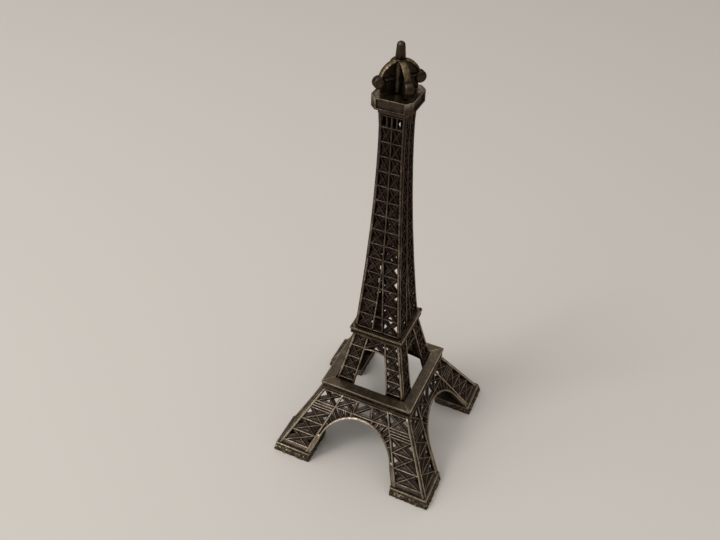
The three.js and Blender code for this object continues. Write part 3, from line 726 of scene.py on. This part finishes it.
minus = lambda edge: lambda z: -edge(z)
for z in (girder_z, girder_top):
    rung(lower, minus(corner_middle), corner_middle, z, RUNG, LATTICE_DEPTH)
post = lambda share: lambda z: share * (lower_gap(z) + LOWER_INNER_CHORD / 2)
for share in (-1 / 3, 1 / 3):
    edge = post(share)
    tie(lower, (edge(girder_z), girder_z), (edge(girder_top), girder_top), LATTICE_DEPTH)
crossed_bay(lower, post(-1), post(-1 / 3), girder_z, girder_top, GIRDER_ROOTS, LATTICE_DEPTH)
crossed_bay(lower, post(1 / 3), post(1), girder_z, girder_top, GIRDER_ROOTS, LATTICE_DEPTH)
single_foot = (post(-1 / 3)(girder_z), girder_z)
single_top = (post(1 / 3)(girder_top), girder_top)
brace(lower, single_foot, single_top, GIRDER_ROOTS * (girder_top - girder_z), LATTICE_DEPTH)

note_rub(lower, line(lower_low.z, LOWER_HANDLED[0], lower_high.z, LOWER_HANDLED[1]))
rake(lower, lower_half)
mitre(lower)
make_four("lower_side", "lower_frame", SIDES, lower, lattice_finish)

# %% [markdown]
# ## Middle storey
# The same bars make the middle storey: two half-legs with four crossed bays each, and a band
# between them at the top. The band's lower edge is a very flat arch, spun like the large one. The
# legs' feet go down behind the first platform, where they are soldered on the real thing.

# %% Middle storey
MIDDLE_DEPTH = 1.2 * MM
MIDDLE_ROOTS = 0.42
MIDDLE_RUNG_ROOT = 1.25 * RUNG
MIDDLE_HANDLED = (1.0, 0.9)
MIDDLE_BAYS = 4
MIDDLE_CORNER_CHORD = 1.8 * MM
MIDDLE_CORNER_WIDTH = 1.35 * MM
MIDDLE_INNER_CHORD = 0.9 * MM
MIDDLE_GAP_FOOT = 7.1 * MM
MIDDLE_GAP_TOP = 3.1 * MM
MIDDLE_TOP_CHORD = 1 * MM
BAND_DEPTH = 7.4 * MM
BAND_RISE = 0.7 * MM
BAND_EDGE = 0.8 * MM
BAND_FRONT = 0.05 * MM
BAND_STEPS = 10

middle_outer = lambda z: middle_half(z) - MIDDLE_CORNER_CHORD
middle_gap = line(deck_1_high.z, MIDDLE_GAP_FOOT, deck_2_low.z, MIDDLE_GAP_TOP)
middle_inner = lambda z: middle_gap(z) + MIDDLE_INNER_CHORD
leg_corner = lambda z: middle_half(z) - CORNER_GROOVE - MIDDLE_CORNER_WIDTH / 2
leg_inner = lambda z: middle_gap(z) + MIDDLE_INNER_CHORD / 2
band_z = deck_2_low.z - BAND_DEPTH

middle = bmesh.new()
storey = spread(middle_low.z, middle_high.z, CHORD_STEPS)
upright_bar(middle, leg_corner, storey, MIDDLE_CORNER_WIDTH, MIDDLE_DEPTH, 0)
upright_bar(middle, leg_inner, storey, MIDDLE_INNER_CHORD, MIDDLE_DEPTH, 0)
last_rung = middle_high.z - MIDDLE_TOP_CHORD + RUNG / 2
middle_rungs = spread(deck_1_high.z + SEAM + RUNG / 2, last_rung, MIDDLE_BAYS)
for low, high in zip(middle_rungs, middle_rungs[1:]):
    crossed_bay(middle, middle_inner, middle_outer, low, high, MIDDLE_ROOTS, MIDDLE_DEPTH)
for z in middle_rungs[:-1]:
    rung(middle, leg_inner, leg_corner, z, MIDDLE_RUNG_ROOT, MIDDLE_DEPTH)
lap = [middle_low.z, deck_1_high.z]
web_plate(middle, middle_gap, leg_corner, lap, 0, MIDDLE_DEPTH)
mirror_pattern(middle)

rung(middle, minus(leg_corner), leg_corner, middle_high.z - RUNG / 2, RUNG, MIDDLE_DEPTH)
band_half = middle_gap(band_z) + MIDDLE_INNER_CHORD / 2
band_radius = (band_half**2 + BAND_RISE**2) / (2 * BAND_RISE)
band_start = math.acos(band_half / band_radius)
band_centre = band_z + BAND_EDGE / 2 + BAND_RISE - band_radius
arched_bar(
    middle, band_centre, band_radius, band_start, BAND_EDGE, MIDDLE_DEPTH, BAND_FRONT, BAND_STEPS
)
band_low = band_z + BAND_RISE + BAND_EDGE / 2
crossed_bay(middle, minus(leg_inner), leg_inner, band_low, last_rung, MIDDLE_ROOTS, MIDDLE_DEPTH)

note_rub(middle, line(middle_low.z, MIDDLE_HANDLED[0], middle_high.z, MIDDLE_HANDLED[1]))
rake(middle, middle_half)
mitre(middle)
make_four("middle_side", "middle_frame", SIDES, middle, lattice_finish)

# %% [markdown]
# ## Shaft
# The shaft is one tall casting to a side. Its bays get a little shorter towards the top. A
# rounded bar runs up the middle and splits in two near the foot, and three balusters stand under
# the gallery. The chords follow the curve because they are pushed from rung to rung.

# %% Shaft
SHAFT_DEPTH = 0.9 * MM
SHAFT_ROOTS = 0.32
SHAFT_HANDLED = (0.8, 0.45)
SHAFT_CORNER_CHORD = 1.4 * MM
SHAFT_CORNER_WIDTH = 1.05 * MM
SHAFT_GROOVE = 0.2 * MM
SHAFT_BAYS = 14
SHAFT_FIRST_BAY = 7.05 * MM
SHAFT_BAY_STEP = 0.12 * MM
SHAFT_SILL = 0.85 * MM
CENTRE_BAR = 0.75 * MM
SPLIT_BAYS = 5
SPLIT_FOOT_HALF = 2.15 * MM
SPLIT_TIE_EVERY = 2
SPLIT_BAR_FRONT = 0.02 * MM
BALUSTER = 0.7 * MM
BALUSTER_FRONT = 0.06 * MM

shaft_rungs = [shaft_low.z + SHAFT_SILL - RUNG / 2]
for count in range(SHAFT_BAYS):
    shaft_rungs.append(shaft_rungs[-1] + SHAFT_FIRST_BAY - count * SHAFT_BAY_STEP)
bays_top = shaft_rungs[-1]
split_z = shaft_rungs[SPLIT_BAYS]
split_line = line(deck_2_high.z, SPLIT_FOOT_HALF, split_z, 0)
split_half = lambda z: max(0, split_line(z))
shaft_outer = lambda z: shaft_half(z) - SHAFT_CORNER_CHORD
shaft_corner = lambda z: shaft_half(z) - SHAFT_GROOVE - SHAFT_CORNER_WIDTH / 2
shaft_inner = lambda z: split_half(z) + CENTRE_BAR / 2

shaft = bmesh.new()
shaft_levels = [shaft_low.z, *shaft_rungs[1:], shaft_high.z]
upright_bar(shaft, shaft_corner, shaft_levels, SHAFT_CORNER_WIDTH, SHAFT_DEPTH, 0)
for low, high in zip(shaft_rungs, shaft_rungs[1:]):
    crossed_bay(shaft, shaft_inner, shaft_outer, low, high, SHAFT_ROOTS, SHAFT_DEPTH)
split_levels = [shaft_low.z, *shaft_rungs[1:SPLIT_BAYS], split_z - CENTRE_BAR]
upright_bar(shaft, split_half, split_levels, CENTRE_BAR, SHAFT_DEPTH, SPLIT_BAR_FRONT)
split_rungs = shaft_rungs[SPLIT_TIE_EVERY:SPLIT_BAYS:SPLIT_TIE_EVERY]
for z in split_rungs:
    rung(shaft, split_half, shaft_corner, z, SHAFT_ROOTS * SHAFT_FIRST_BAY, SHAFT_DEPTH)
ledge_z = shaft_high.z - RUNG / 2
baluster_x = lambda z: shaft_outer(z) / 2
upright_bar(shaft, baluster_x, [bays_top, ledge_z], BALUSTER, SHAFT_DEPTH, BALUSTER_FRONT)
mirror_pattern(shaft)

centre_levels = [split_z - SHAFT_FIRST_BAY / 2, *shaft_rungs[SPLIT_BAYS:], ledge_z]
upright_bar(shaft, lambda z: 0, centre_levels, CENTRE_BAR, SHAFT_DEPTH, 0)
full_rungs = [z for z in shaft_rungs if z not in split_rungs]
for z in (*full_rungs, ledge_z):
    rung(shaft, minus(shaft_corner), shaft_corner, z, RUNG, SHAFT_DEPTH)

note_rub(shaft, line(shaft_low.z, SHAFT_HANDLED[0], shaft_high.z, SHAFT_HANDLED[1]))
rake(shaft, shaft_half)
mitre(shaft)
make_four("shaft_side", "shaft_frame", SIDES, shaft, lattice_finish)

# %% [markdown]
# ## Platform mouldings
# A platform is a square ring of four mouldings, mitred like a picture frame. Its section has an
# upper slab, a cove and a lower lip. A section drawn once and pushed along the side is how a
# moulding is really made, and the mitre cut is shared with the lattice. The rub note is kept at
# points and blends between them, so a narrow inset round each broad face keeps its worn edge
# narrow.

# %% Worn edges for blocks
SHARP = math.radians(30)
VERY_SHARP = math.radians(50)


def note_edges(bm, width, flat, least, edge=1.0):
    """Insets every face larger than least, so that its rim can be worn more than its middle."""
    bmesh.ops.recalc_face_normals(bm, faces=bm.faces)
    rub = bm.verts.layers.float.new("rub")
    for vert in bm.verts:
        vert[rub] = edge
    broad = [face for face in bm.faces if face.calc_area() > least]
    bmesh.ops.inset_individual(bm, faces=broad, thickness=width, depth=0, use_even_offset=True)
    for face in broad:
        for vert in face.verts:
            vert[rub] = flat


def soften(bm, edges, radius, segments=2):
    """Rounds some edges."""
    bmesh.ops.bevel(
        bm,
        geom=list(edges),
        offset=radius,
        segments=segments,
        profile=0.5,
        affect="EDGES",
        material=-1,
        clamp_overlap=True,
    )


def add_mesh(bm, part):
    """Joins one bmesh into another."""
    mesh = bpy.data.meshes.new("part")
    part.to_mesh(mesh)
    part.free()
    bm.from_mesh(mesh)
    bpy.data.meshes.remove(mesh)


def sharp_edges(bm, angle=SHARP):
    """The edges between faces that meet at more than an angle."""
    return [edge for edge in bm.edges if edge.is_manifold and edge.calc_face_angle(0) > angle]


# %% Mouldings
LIP = 0.95 * MM
GROOVE = 1.0 * MM
COVE_STEPS = 4
LIP_ROUNDING = 0.13 * MM
LIP_WORN_RIM = 0.22 * MM
PLATFORM_RUB = 0.42
PLATFORM_BROAD = 6 * MM**2
LOWER_LIP_SHARE = 0.6


def moulding(half, low, high, back_low, back_high):
    """One side of a platform, with its section drawn as (out, up)."""
    cove = []
    for turn in spread(0, math.pi / 2, COVE_STEPS):
        cove.append((half - GROOVE * math.sin(turn), high - LIP - LIP * (1 - math.cos(turn))))
    foot = half - GROOVE / 4
    lower_cove = [(half - GROOVE, low + 1.6 * LIP), (half - 0.8 * GROOVE, low + 1.2 * LIP)]
    lip = [(foot, low + LIP), (foot, low)]
    points = [(back_high, high), (half, high), *cove, *lower_cove, *lip, (back_low, low)]
    bm = bmesh.new()
    verts = [bm.verts.new((-half, -out, z)) for out, z in points]
    push(bm, bm.faces.new(verts), Vector((2 * half, 0, 0)))
    bmesh.ops.recalc_face_normals(bm, faces=bm.faces)
    mitre(bm)
    soften(bm, sharp_edges(bm, VERY_SHARP), LIP_ROUNDING)
    note_edges(bm, LIP_WORN_RIM, PLATFORM_RUB, PLATFORM_BROAD)
    rub = bm.verts.layers.float["rub"]
    # The cove gets no rub: partly patina left in the groove, partly painted shade under the upper slab.
    for vert in bm.verts:
        sunk = vert.co.y > 0.1 * GROOVE - half and vert.co.z < high - LIP
        if sunk and vert.co.z > low + 0.9 * LIP:
            vert[rub] = 0.0
        elif vert.co.z < low + 1.2 * LIP:
            vert[rub] *= LOWER_LIP_SHARE
    return bm


LAP_SEAM = SEAM * 1.02
lap_low = middle_half(deck_1_low.z) + LAP_SEAM
lap_high = middle_half(deck_1_high.z) + LAP_SEAM
deck_1 = moulding(deck_1_half, deck_1_low.z, deck_1_high.z, lap_low, lap_high)
make_four(
    "platform_1_side", "deck_1_moulding", SIDES, deck_1, platform_finish, SMOOTH_BLOCKS
)
deck_2_inner = -deck_2_high.y
deck_2 = moulding(deck_2_half, deck_2_low.z, deck_2_high.z, deck_2_inner, deck_2_inner)
make_four(
    "platform_2_side", "deck_2_moulding", SIDES, deck_2, platform_finish, SMOOTH_BLOCKS
)

# %% [markdown]
# ## Plinths
# Each foot stands on a block cast like rough masonry, whose outer sides lean in, with a thin
# ledge on top. The roughness is real relief, so it is modelled: the sides are divided finely and
# each point is moved in by chips of fractal noise, a depth for each stone and the joints between
# them, in courses. A bump in the finish alone would leave the outline straight.

# %% Plinth
PLINTH_BATTER = 1.3 * MM
PLINTH_LEDGE = 0.55 * MM
STONE_SIZE = 1.7 * MM
COURSE_HEIGHT = 1.25 * MM
STONE_RELIEF = 0.6 * MM
STONE_CORNER = 0.8 * MM
LONG_EDGE = 5 * MM
STONE_CUTS = 52
STONE_LEVELS = 13
STONE_SPREAD = (3.7, 5.3)
STONE_FACE = 0.84
STONE_STEP = 0.22
CHIP_DEPTH = 0.4
CHIP_SIZE = STONE_SIZE / 1.7
CHIP_FADE = 0.8
CHIP_LACUNARITY = 2.2
CHIP_OCTAVES = 4
JOINT_EDGE = 0.72
JOINT_DEPTH = 1.6
STONE_RUB = (-0.15, 0.75)
LEDGE_ROUNDING = 0.16 * MM
LEDGE_WORN_RIM = 0.3 * MM


def block(bm, low, high):
    """A block between two corners."""
    place = Matrix.Translation((low + high) / 2) @ Matrix.Diagonal((*(high - low), 1))
    bmesh.ops.create_cube(bm, size=1, matrix=place)


def is_upright(edge):
    """True for an edge that runs up rather than along."""
    rise = abs(edge.verts[0].co.z - edge.verts[1].co.z)
    return rise > 0.5 * edge.calc_length()


def batter(bm):
    """Leans the two outer sides in, as the block gets higher."""
    for vert in bm.verts:
        lean = PLINTH_BATTER * vert.co.z / plinth_high.z
        across = (vert.co.x - plinth_low.x) / (plinth_high.x - plinth_low.x)
        deep = (plinth_high.y - vert.co.y) / (plinth_high.y - plinth_low.y)
        vert.co.x -= lean * across
        vert.co.y += lean * deep


plinth = bmesh.new()
block(plinth, plinth_low, Vector((plinth_high.x, plinth_high.y, plinth_high.z - PLINTH_LEDGE / 2)))
soften(plinth, [edge for edge in plinth.edges if is_upright(edge)], STONE_CORNER, 3)
level_edges = [edge for edge in plinth.edges if not is_upright(edge)]
long_edges = [edge for edge in level_edges if edge.calc_length() > LONG_EDGE]
bmesh.ops.subdivide_edges(plinth, edges=long_edges, cuts=STONE_CUTS, use_grid_fill=False)
upright_edges = [edge for edge in plinth.edges if is_upright(edge)]
bmesh.ops.subdivide_edges(plinth, edges=upright_edges, cuts=STONE_LEVELS, use_grid_fill=True)
plinth.normal_update()
rub_layer = plinth.verts.layers.float.new("rub")
for vert in plinth.verts:
    outward = Vector((vert.normal.x, vert.normal.y, 0))
    if outward.length < 0.3:
        continue
    course = math.floor(vert.co.z / COURSE_HEIGHT)
    along = (vert.co.x - vert.co.y) / STONE_SIZE + 0.5 * course
    stone = noise.cell(Vector((math.floor(along) * STONE_SPREAD[0], course * STONE_SPREAD[1], 0.5)))
    joint = min(abs(along % 1 - 0.5) * 2, 1)
    bed = min(abs(vert.co.z / COURSE_HEIGHT % 1 - 0.5) * 2, 1)
    chips = noise.fractal(vert.co / CHIP_SIZE, CHIP_FADE, CHIP_LACUNARITY, CHIP_OCTAVES)
    joint_sink = max(0.0, joint - JOINT_EDGE) + max(0.0, bed - JOINT_EDGE)
    rough_face = STONE_FACE + CHIP_DEPTH * chips + STONE_STEP * (stone - 0.5)
    relief = min(1.0, max(0.0, rough_face - JOINT_DEPTH * joint_sink))
    vert.co -= outward.normalized() * STONE_RELIEF * (1 - relief)
    vert[rub_layer] = line(0, STONE_RUB[0], 1, STONE_RUB[1])(relief)

cap = bmesh.new()
block(cap, Vector((plinth_low.x, plinth_low.y, plinth_high.z - PLINTH_LEDGE)), plinth_high)
soften(cap, [edge for edge in cap.edges if is_upright(edge)], STONE_CORNER, 3)
soften(cap, sharp_edges(cap, VERY_SHARP), LEDGE_ROUNDING)
note_edges(cap, LEDGE_WORN_RIM, flat=0.3, least=6 * MM**2, edge=0.8)
add_mesh(plinth, cap)
batter(plinth)
make_four("foot_plinth", "plinth", CORNERS, plinth, plinth_finish, SMOOTH_BLOCKS)

# %% [markdown]
# ## Gallery
# The gallery is a square block with its corners cut off, a sunk panel on each main side and a
# cove below it. It starts as a cube. A one-step bevel cuts the corners and insets sink the
# panels. The underside is pushed down and drawn in along a quarter circle, to a foot that is
# nearly square and meets the shaft. A shallow tray is sunk in the top.

# %% Gallery
GALLERY_SIDE_HEIGHT = 4.1 * MM
GALLERY_CHAMFER = 2.16 * MM
PANEL_MARGIN = 0.7 * MM
PANEL_SLOPE = 0.12 * MM
PANEL_SINK = 0.6 * MM
GALLERY_FOOT_LIP = 0.1 * MM
GALLERY_FOOT_CUT = 0.3 * MM
GALLERY_COVE_STEPS = 6
TRAY_MARGIN = 0.55 * MM
TRAY_SLOPE = 0.1 * MM
TRAY_SINK = 0.16 * MM
GALLERY_ROUNDING = 0.11 * MM
# Painted light on the gallery's top band, against the shade that the lantern casts on it.
GALLERY_TOP_PAINTED_LIGHT = 0.8
GALLERY_TOP_LIGHT_BAND = 0.3 * MM

gallery_half = gallery_high.x
gallery_side_z = gallery_high.z - GALLERY_SIDE_HEIGHT
gallery_foot_z = shaft_high.z + 0.15 * SEAM
gallery_foot_half = shaft_half(shaft_high.z) + GALLERY_FOOT_LIP

gallery = bmesh.new()
block(gallery, Vector((-gallery_half, -gallery_half, gallery_side_z)), gallery_high)
soften(gallery, [edge for edge in gallery.edges if is_upright(edge)], GALLERY_CHAMFER, 1)
main_faces = [face for face in gallery.faces if max(abs(face.normal.x), abs(face.normal.y)) > 0.99]
bmesh.ops.inset_individual(gallery, faces=main_faces, thickness=PANEL_MARGIN, depth=0)
bmesh.ops.inset_individual(gallery, faces=main_faces, thickness=PANEL_SLOPE, depth=-PANEL_SINK)
underside = min(gallery.faces, key=lambda face: face.normal.z)
last_z = gallery_side_z
for turn in spread(math.pi / 2, 0, GALLERY_COVE_STEPS)[1:]:
    half = gallery_half - (gallery_half - gallery_foot_half) * math.cos(turn)
    cut = GALLERY_FOOT_CUT + (GALLERY_CHAMFER - GALLERY_FOOT_CUT) * math.sin(turn)
    z = gallery_foot_z + (gallery_side_z - gallery_foot_z) * math.sin(turn)
    underside = push(gallery, underside, Vector((0, 0, z - last_z)))
    for vert in underside.verts:
        x, y = (half, half - cut) if abs(vert.co.x) > abs(vert.co.y) else (half - cut, half)
        vert.co.x = math.copysign(x, vert.co.x)
        vert.co.y = math.copysign(y, vert.co.y)
    last_z = z
top_face = max(gallery.faces, key=lambda face: face.normal.z)
bmesh.ops.inset_individual(gallery, faces=[top_face], thickness=TRAY_MARGIN, depth=0)
bmesh.ops.inset_individual(gallery, faces=[top_face], thickness=TRAY_SLOPE, depth=-TRAY_SINK)
over_the_cove = gallery_side_z + 0.1 * MM
side_edges = [e for e in sharp_edges(gallery) if max(vert.co.z for vert in e.verts) > over_the_cove]
soften(gallery, side_edges, GALLERY_ROUNDING)
note_edges(gallery, 0.2 * MM, flat=0.25, least=3 * MM**2, edge=0.4)
gallery_rub_and_light = gallery.verts.layers.float["rub"]
# Painted light: the top band gets a high rub note, which lightens it where the lantern shades it.
for vert in gallery.verts:
    if vert.co.z > gallery_high.z - GALLERY_TOP_LIGHT_BAND:
        vert[gallery_rub_and_light] = GALLERY_TOP_PAINTED_LIGHT
print("gallery:", len(gallery.faces), "faces")
make_piece("gallery_block", "gallery", gallery, lattice_finish, smooth=SMOOTH_BLOCKS)
gallery.free()

# %% [markdown]
# ## Lantern
# Two fins cross on the gallery's diagonals. Each has a barrel lying across both of its ends, a
# rail along its top and a round fan with a raised rim over it, and a post stands where they meet.
# One fin is modelled and turned, because the two are the same.

# %% Lantern
FIN_REACH = 9 * MM
FIN_THICKNESS = 2 * MM
FIN_LIFT = 2.2 * MM
FIN_FOOT_INSET = 2.6 * MM
ROLLER_RADIUS = 2.0 * MM
ROLLER_LENGTH = 2.9 * MM
ROLLER_SIDES = 28
ROLLER_ROUNDING = 0.75 * MM
ROLLER_RUB = 0.32
FIN_SHOULDER = 0.4 * MM
FIN_ROUNDING = 0.2 * MM
FIN_RUB = 0.1
FIN_RAIL = 1.4 * MM
FIN_RAIL_STEP = 0.35 * MM
RAIL_ROUNDING = 0.35 * MM
RAIL_RUB = 0.4
WORN_EXTRA = 0.2
FAN_RADIUS = 7.3 * MM
FAN_SIDES = 48
FAN_WEB = 1.2 * MM
FAN_WEB_RUB = 0.22
FAN_RIM = 1.1 * MM
FAN_RIM_THICKNESS = 2.2 * MM
FAN_RIM_STEPS = 40
FAN_RIM_TOP = 0.93
FAN_RIM_TOP_RUB = 0.62
FAN_RIM_SIDE_RUB = 0.3
POST_RADIUS = 1.75 * MM
POST_SIDES = 24
POST_ROUNDING = 0.3 * MM
POST_RUB = 0.35

lantern_foot = gallery_high.z + SEAM
fin_z = gallery_high.z + FIN_LIFT
roller_x = FIN_REACH - ROLLER_RADIUS
roller_z = fin_z + ROLLER_RADIUS
fin_top = roller_z + ROLLER_RADIUS - FIN_SHOULDER
foot_x = FIN_REACH - FIN_FOOT_INSET
fan_z = lantern_high.z - FAN_RADIUS
SIDEWAYS = Matrix.Rotation(math.pi / 2, 4, "X")


def rounded_block(low, high, radius, flat):
    """A block with rounded edges that are worn a little more than its flats."""
    bm = bmesh.new()
    block(bm, low, high)
    soften(bm, bm.edges, radius)
    note_edges(bm, radius, flat, least=2 * MM**2, edge=flat + WORN_EXTRA)
    return bm


def rub_evenly(bm, value):
    """Gives every point the same rub note."""
    rub = bm.verts.layers.float.new("rub")
    for vert in bm.verts:
        vert[rub] = value


def roller(x):
    """A short barrel lying across the fin, with rounded ends."""
    bm = bmesh.new()
    bmesh.ops.create_cone(
        bm,
        cap_ends=True,
        segments=ROLLER_SIDES,
        radius1=ROLLER_RADIUS,
        radius2=ROLLER_RADIUS,
        depth=ROLLER_LENGTH,
        matrix=Matrix.Translation((x, 0, roller_z)) @ SIDEWAYS,
    )
    ends = [face for face in bm.faces if len(face.verts) > 4]
    soften(bm, [edge for face in ends for edge in face.edges], ROLLER_ROUNDING, 4)
    rub_evenly(bm, ROLLER_RUB)
    return bm


def fan():
    """A half disc standing on the fin, with a rounded rim."""
    bm = bmesh.new()
    radius = FAN_RADIUS - FAN_RIM / 2
    place = Matrix.Translation((0, FAN_WEB / 2, fan_z)) @ SIDEWAYS
    disc = bmesh.ops.create_circle(bm, cap_ends=True, segments=FAN_SIDES, radius=radius, matrix=place)
    push(bm, disc["verts"][0].link_faces[0], Vector((0, -FAN_WEB, 0)))
    parts = [*bm.verts, *bm.edges, *bm.faces]
    cut = bmesh.ops.bisect_plane(
        bm,
        geom=parts,
        dist=CUT_REACH,
        plane_co=(0, 0, fan_z),
        plane_no=(0, 0, -1),
        clear_outer=True,
    )
    rims = [item for item in cut["geom_cut"] if isinstance(item, bmesh.types.BMEdge)]
    bmesh.ops.holes_fill(bm, edges=rims, sides=0)
    bmesh.ops.recalc_face_normals(bm, faces=bm.faces)
    rub_evenly(bm, FAN_WEB_RUB)
    rim = bmesh.new()
    rim_front = -FAN_RIM_THICKNESS / 2
    arched_bar(rim, fan_z, radius, 0, FAN_RIM, FAN_RIM_THICKNESS, rim_front, FAN_RIM_STEPS)
    bmesh.ops.recalc_face_normals(rim, faces=rim.faces)
    rim_rub = rim.verts.layers.float.new("rub")
    for vert in rim.verts:
        out = math.hypot(vert.co.x, vert.co.z - fan_z) / FAN_RADIUS
        vert[rim_rub] = FAN_RIM_TOP_RUB if out > FAN_RIM_TOP else FAN_RIM_SIDE_RUB
    add_mesh(bm, rim)
    return bm


def fin():
    """One fin with its two rollers and its fan."""
    half = FIN_THICKNESS / 2
    bm = bmesh.new()
    bm.verts.layers.float.new("rub")
    fin_low = Vector((-foot_x, -half + FIN_RAIL_STEP, lantern_foot))
    fin_high = Vector((foot_x, half - FIN_RAIL_STEP, fin_top))
    add_mesh(bm, rounded_block(fin_low, fin_high, FIN_ROUNDING, FIN_RUB))
    rail_low = Vector((-roller_x, -half, fin_top - FIN_RAIL))
    rail_high = Vector((roller_x, half, fin_top))
    add_mesh(bm, rounded_block(rail_low, rail_high, RAIL_ROUNDING, RAIL_RUB))
    for x in (-roller_x, roller_x):
        add_mesh(bm, roller(x))
    add_mesh(bm, fan())
    return bm


lantern = bmesh.new()
lantern.verts.layers.float.new("rub")
for turn in (math.pi / 4, -math.pi / 4):
    one_fin = fin()
    turned = Matrix.Rotation(turn, 3, "Z")
    bmesh.ops.rotate(one_fin, verts=one_fin.verts, cent=(0, 0, 0), matrix=turned)
    add_mesh(lantern, one_fin)

middle_post = bmesh.new()
post_height = lantern_high.z - lantern_foot
bmesh.ops.create_cone(
    middle_post,
    cap_ends=True,
    segments=POST_SIDES,
    radius1=POST_RADIUS,
    radius2=POST_RADIUS,
    depth=post_height,
    matrix=Matrix.Translation((0, 0, lantern_foot + post_height / 2)),
)
post_top = [face for face in middle_post.faces if face.normal.z > 0.9]
soften(middle_post, [edge for face in post_top for edge in face.edges], POST_ROUNDING, 3)
rub_evenly(middle_post, POST_RUB)
add_mesh(lantern, middle_post)
print("lantern:", len(lantern.faces), "faces")
make_piece("lantern_fins", "lantern", lantern, lantern_finish, smooth=SMOOTH_BLOCKS)
lantern.free()

# %% [markdown]
# ## Antenna pin
# The pin is turned, so it is made as a lathe would: half of its outline is spun round the axis.

# %% Antenna pin
PIN_TIP_RADIUS = 1.35 * MM
PIN_TIP_STEPS = 6
PIN_FOOT_CHAMFER = 0.2 * MM
PIN_SIDES = 24
PIN_RUB = (0.3, 0.45)
TENON_RADIUS = 0.9 * MM

pin_foot_radius = pin_high.x
pin_foot_z = lantern_high.z + SEAM
pin = bmesh.new()
outline = [
    (0, pin_low.z),
    (TENON_RADIUS, pin_low.z),
    (TENON_RADIUS, pin_foot_z),
    (pin_foot_radius - PIN_FOOT_CHAMFER, pin_foot_z),
    (pin_foot_radius, pin_foot_z + PIN_FOOT_CHAMFER),
]
for turn in spread(0, math.pi / 2, PIN_TIP_STEPS):
    tip_z = pin_high.z - PIN_TIP_RADIUS * (1 - math.sin(turn))
    outline.append((PIN_TIP_RADIUS * math.cos(turn), tip_z))
outline[-1] = (0, pin_high.z)
outline_verts = [pin.verts.new((radius, 0, z)) for radius, z in outline]
outline_edges = [pin.edges.new(pair) for pair in zip(outline_verts, outline_verts[1:])]
bmesh.ops.spin(
    pin,
    geom=outline_verts + outline_edges,
    cent=(0, 0, 0),
    axis=(0, 0, 1),
    angle=2 * math.pi,
    steps=PIN_SIDES,
    use_merge=True,
)
bmesh.ops.remove_doubles(pin, verts=pin.verts, dist=1e-6)
bmesh.ops.recalc_face_normals(pin, faces=pin.faces)
pin_rub = pin.verts.layers.float.new("rub")
handled_pin = line(pin_foot_z, PIN_RUB[0], pin_high.z, PIN_RUB[1])
for vert in pin.verts:
    vert[pin_rub] = handled_pin(max(pin_foot_z, vert.co.z))
print("pin:", len(pin.faces), "faces")
make_piece("antenna", "antenna_pin", pin, lantern_finish, smooth=VERY_SHARP)
pin.free()

# %% [markdown]
# ## Table and light
# The tower stands on a plain pale table with a slight gloss. A window at the front left gives most
# of the light: a large soft lamp, with a smaller, nearer one over it that draws a shadow. The room
# is brighter towards its ceiling, which fills the shadows. Dark metal shows mostly what it
# reflects, so a room that was the same all round would make it look flat and milky.

# %% Table
TABLE_SIZE = 3.0
TABLE_COLOR = (0.575, 0.542, 0.502, 1)
TABLE_ROUGHNESS = 0.42
TABLE_SPECULAR = 0.35

table_material = bpy.data.materials.new("pale_table")
table_material.use_nodes = True
table_shader = table_material.node_tree.nodes["Principled BSDF"]
table_shader.inputs["Base Color"].default_value = TABLE_COLOR
table_shader.inputs["Roughness"].default_value = TABLE_ROUGHNESS
table_shader.inputs["Specular IOR Level"].default_value = TABLE_SPECULAR
table_bm = bmesh.new()
bmesh.ops.create_grid(table_bm, x_segments=1, y_segments=1, size=TABLE_SIZE)
table_mesh = bpy.data.meshes.new("table")
table_bm.to_mesh(table_mesh)
table_bm.free()
table_mesh.materials.append(table_material)
table = bpy.data.objects.new("table", table_mesh)
bpy.context.scene.collection.objects.link(table)


# %% Lamps
def soft_lamp(name, place, size, power, tint):
    """A square lamp that looks at the middle of the tower."""
    data = bpy.data.lights.new(name, "AREA")
    data.shape = "SQUARE"
    data.size = size
    data.energy = power
    data.color = tint
    lamp = bpy.data.objects.new(name, data)
    lamp.location = place
    aim = Vector((0, 0, tower_height / 2)) - Vector(place)
    lamp.rotation_euler = aim.to_track_quat("-Z", "Y").to_euler()
    bpy.context.scene.collection.objects.link(lamp)
    print(f"lamp {name}: {power} W, {size} m across")


soft_lamp("key", place=(-0.62, -0.72, 1.2), size=0.4, power=6, tint=(1.0, 0.985, 0.965))
soft_lamp("window", place=(-0.8, -0.85, 0.8), size=1.4, power=8.5, tint=(1.0, 0.99, 0.975))

# %% Room
ROOM_COLOR = (1.0, 0.98, 0.955, 1)
WALL_LIGHT = 0.18
CEILING_LIGHT = 0.66
CEILING_EDGES = (0.1, 0.95)

world = bpy.data.worlds.new("pale_room")
world.use_nodes = True
bpy.context.scene.world = world
room = world.node_tree
room.nodes["Background"].inputs["Color"].default_value = ROOM_COLOR
direction = room.nodes.new("ShaderNodeSeparateXYZ")
room.links.new(room.nodes.new("ShaderNodeTexCoord").outputs["Generated"], direction.inputs["Vector"])
upwards = ramp(room, direction.outputs["Z"], *CEILING_EDGES)
ceiling_light = maths(room, "MULTIPLY", upwards, CEILING_LIGHT)
room_light = maths(room, "ADD", ceiling_light, WALL_LIGHT)
room.links.new(room_light, room.nodes["Background"].inputs["Strength"])
bpy.context.scene.view_settings.view_transform = "Standard"

# %% [markdown]
# ## Sizes
# The frame's box is printed, in millimetres.

# %% Sizes
print("frame", [round(v / MM, 2) for v in (*cad_low, *cad_high)])
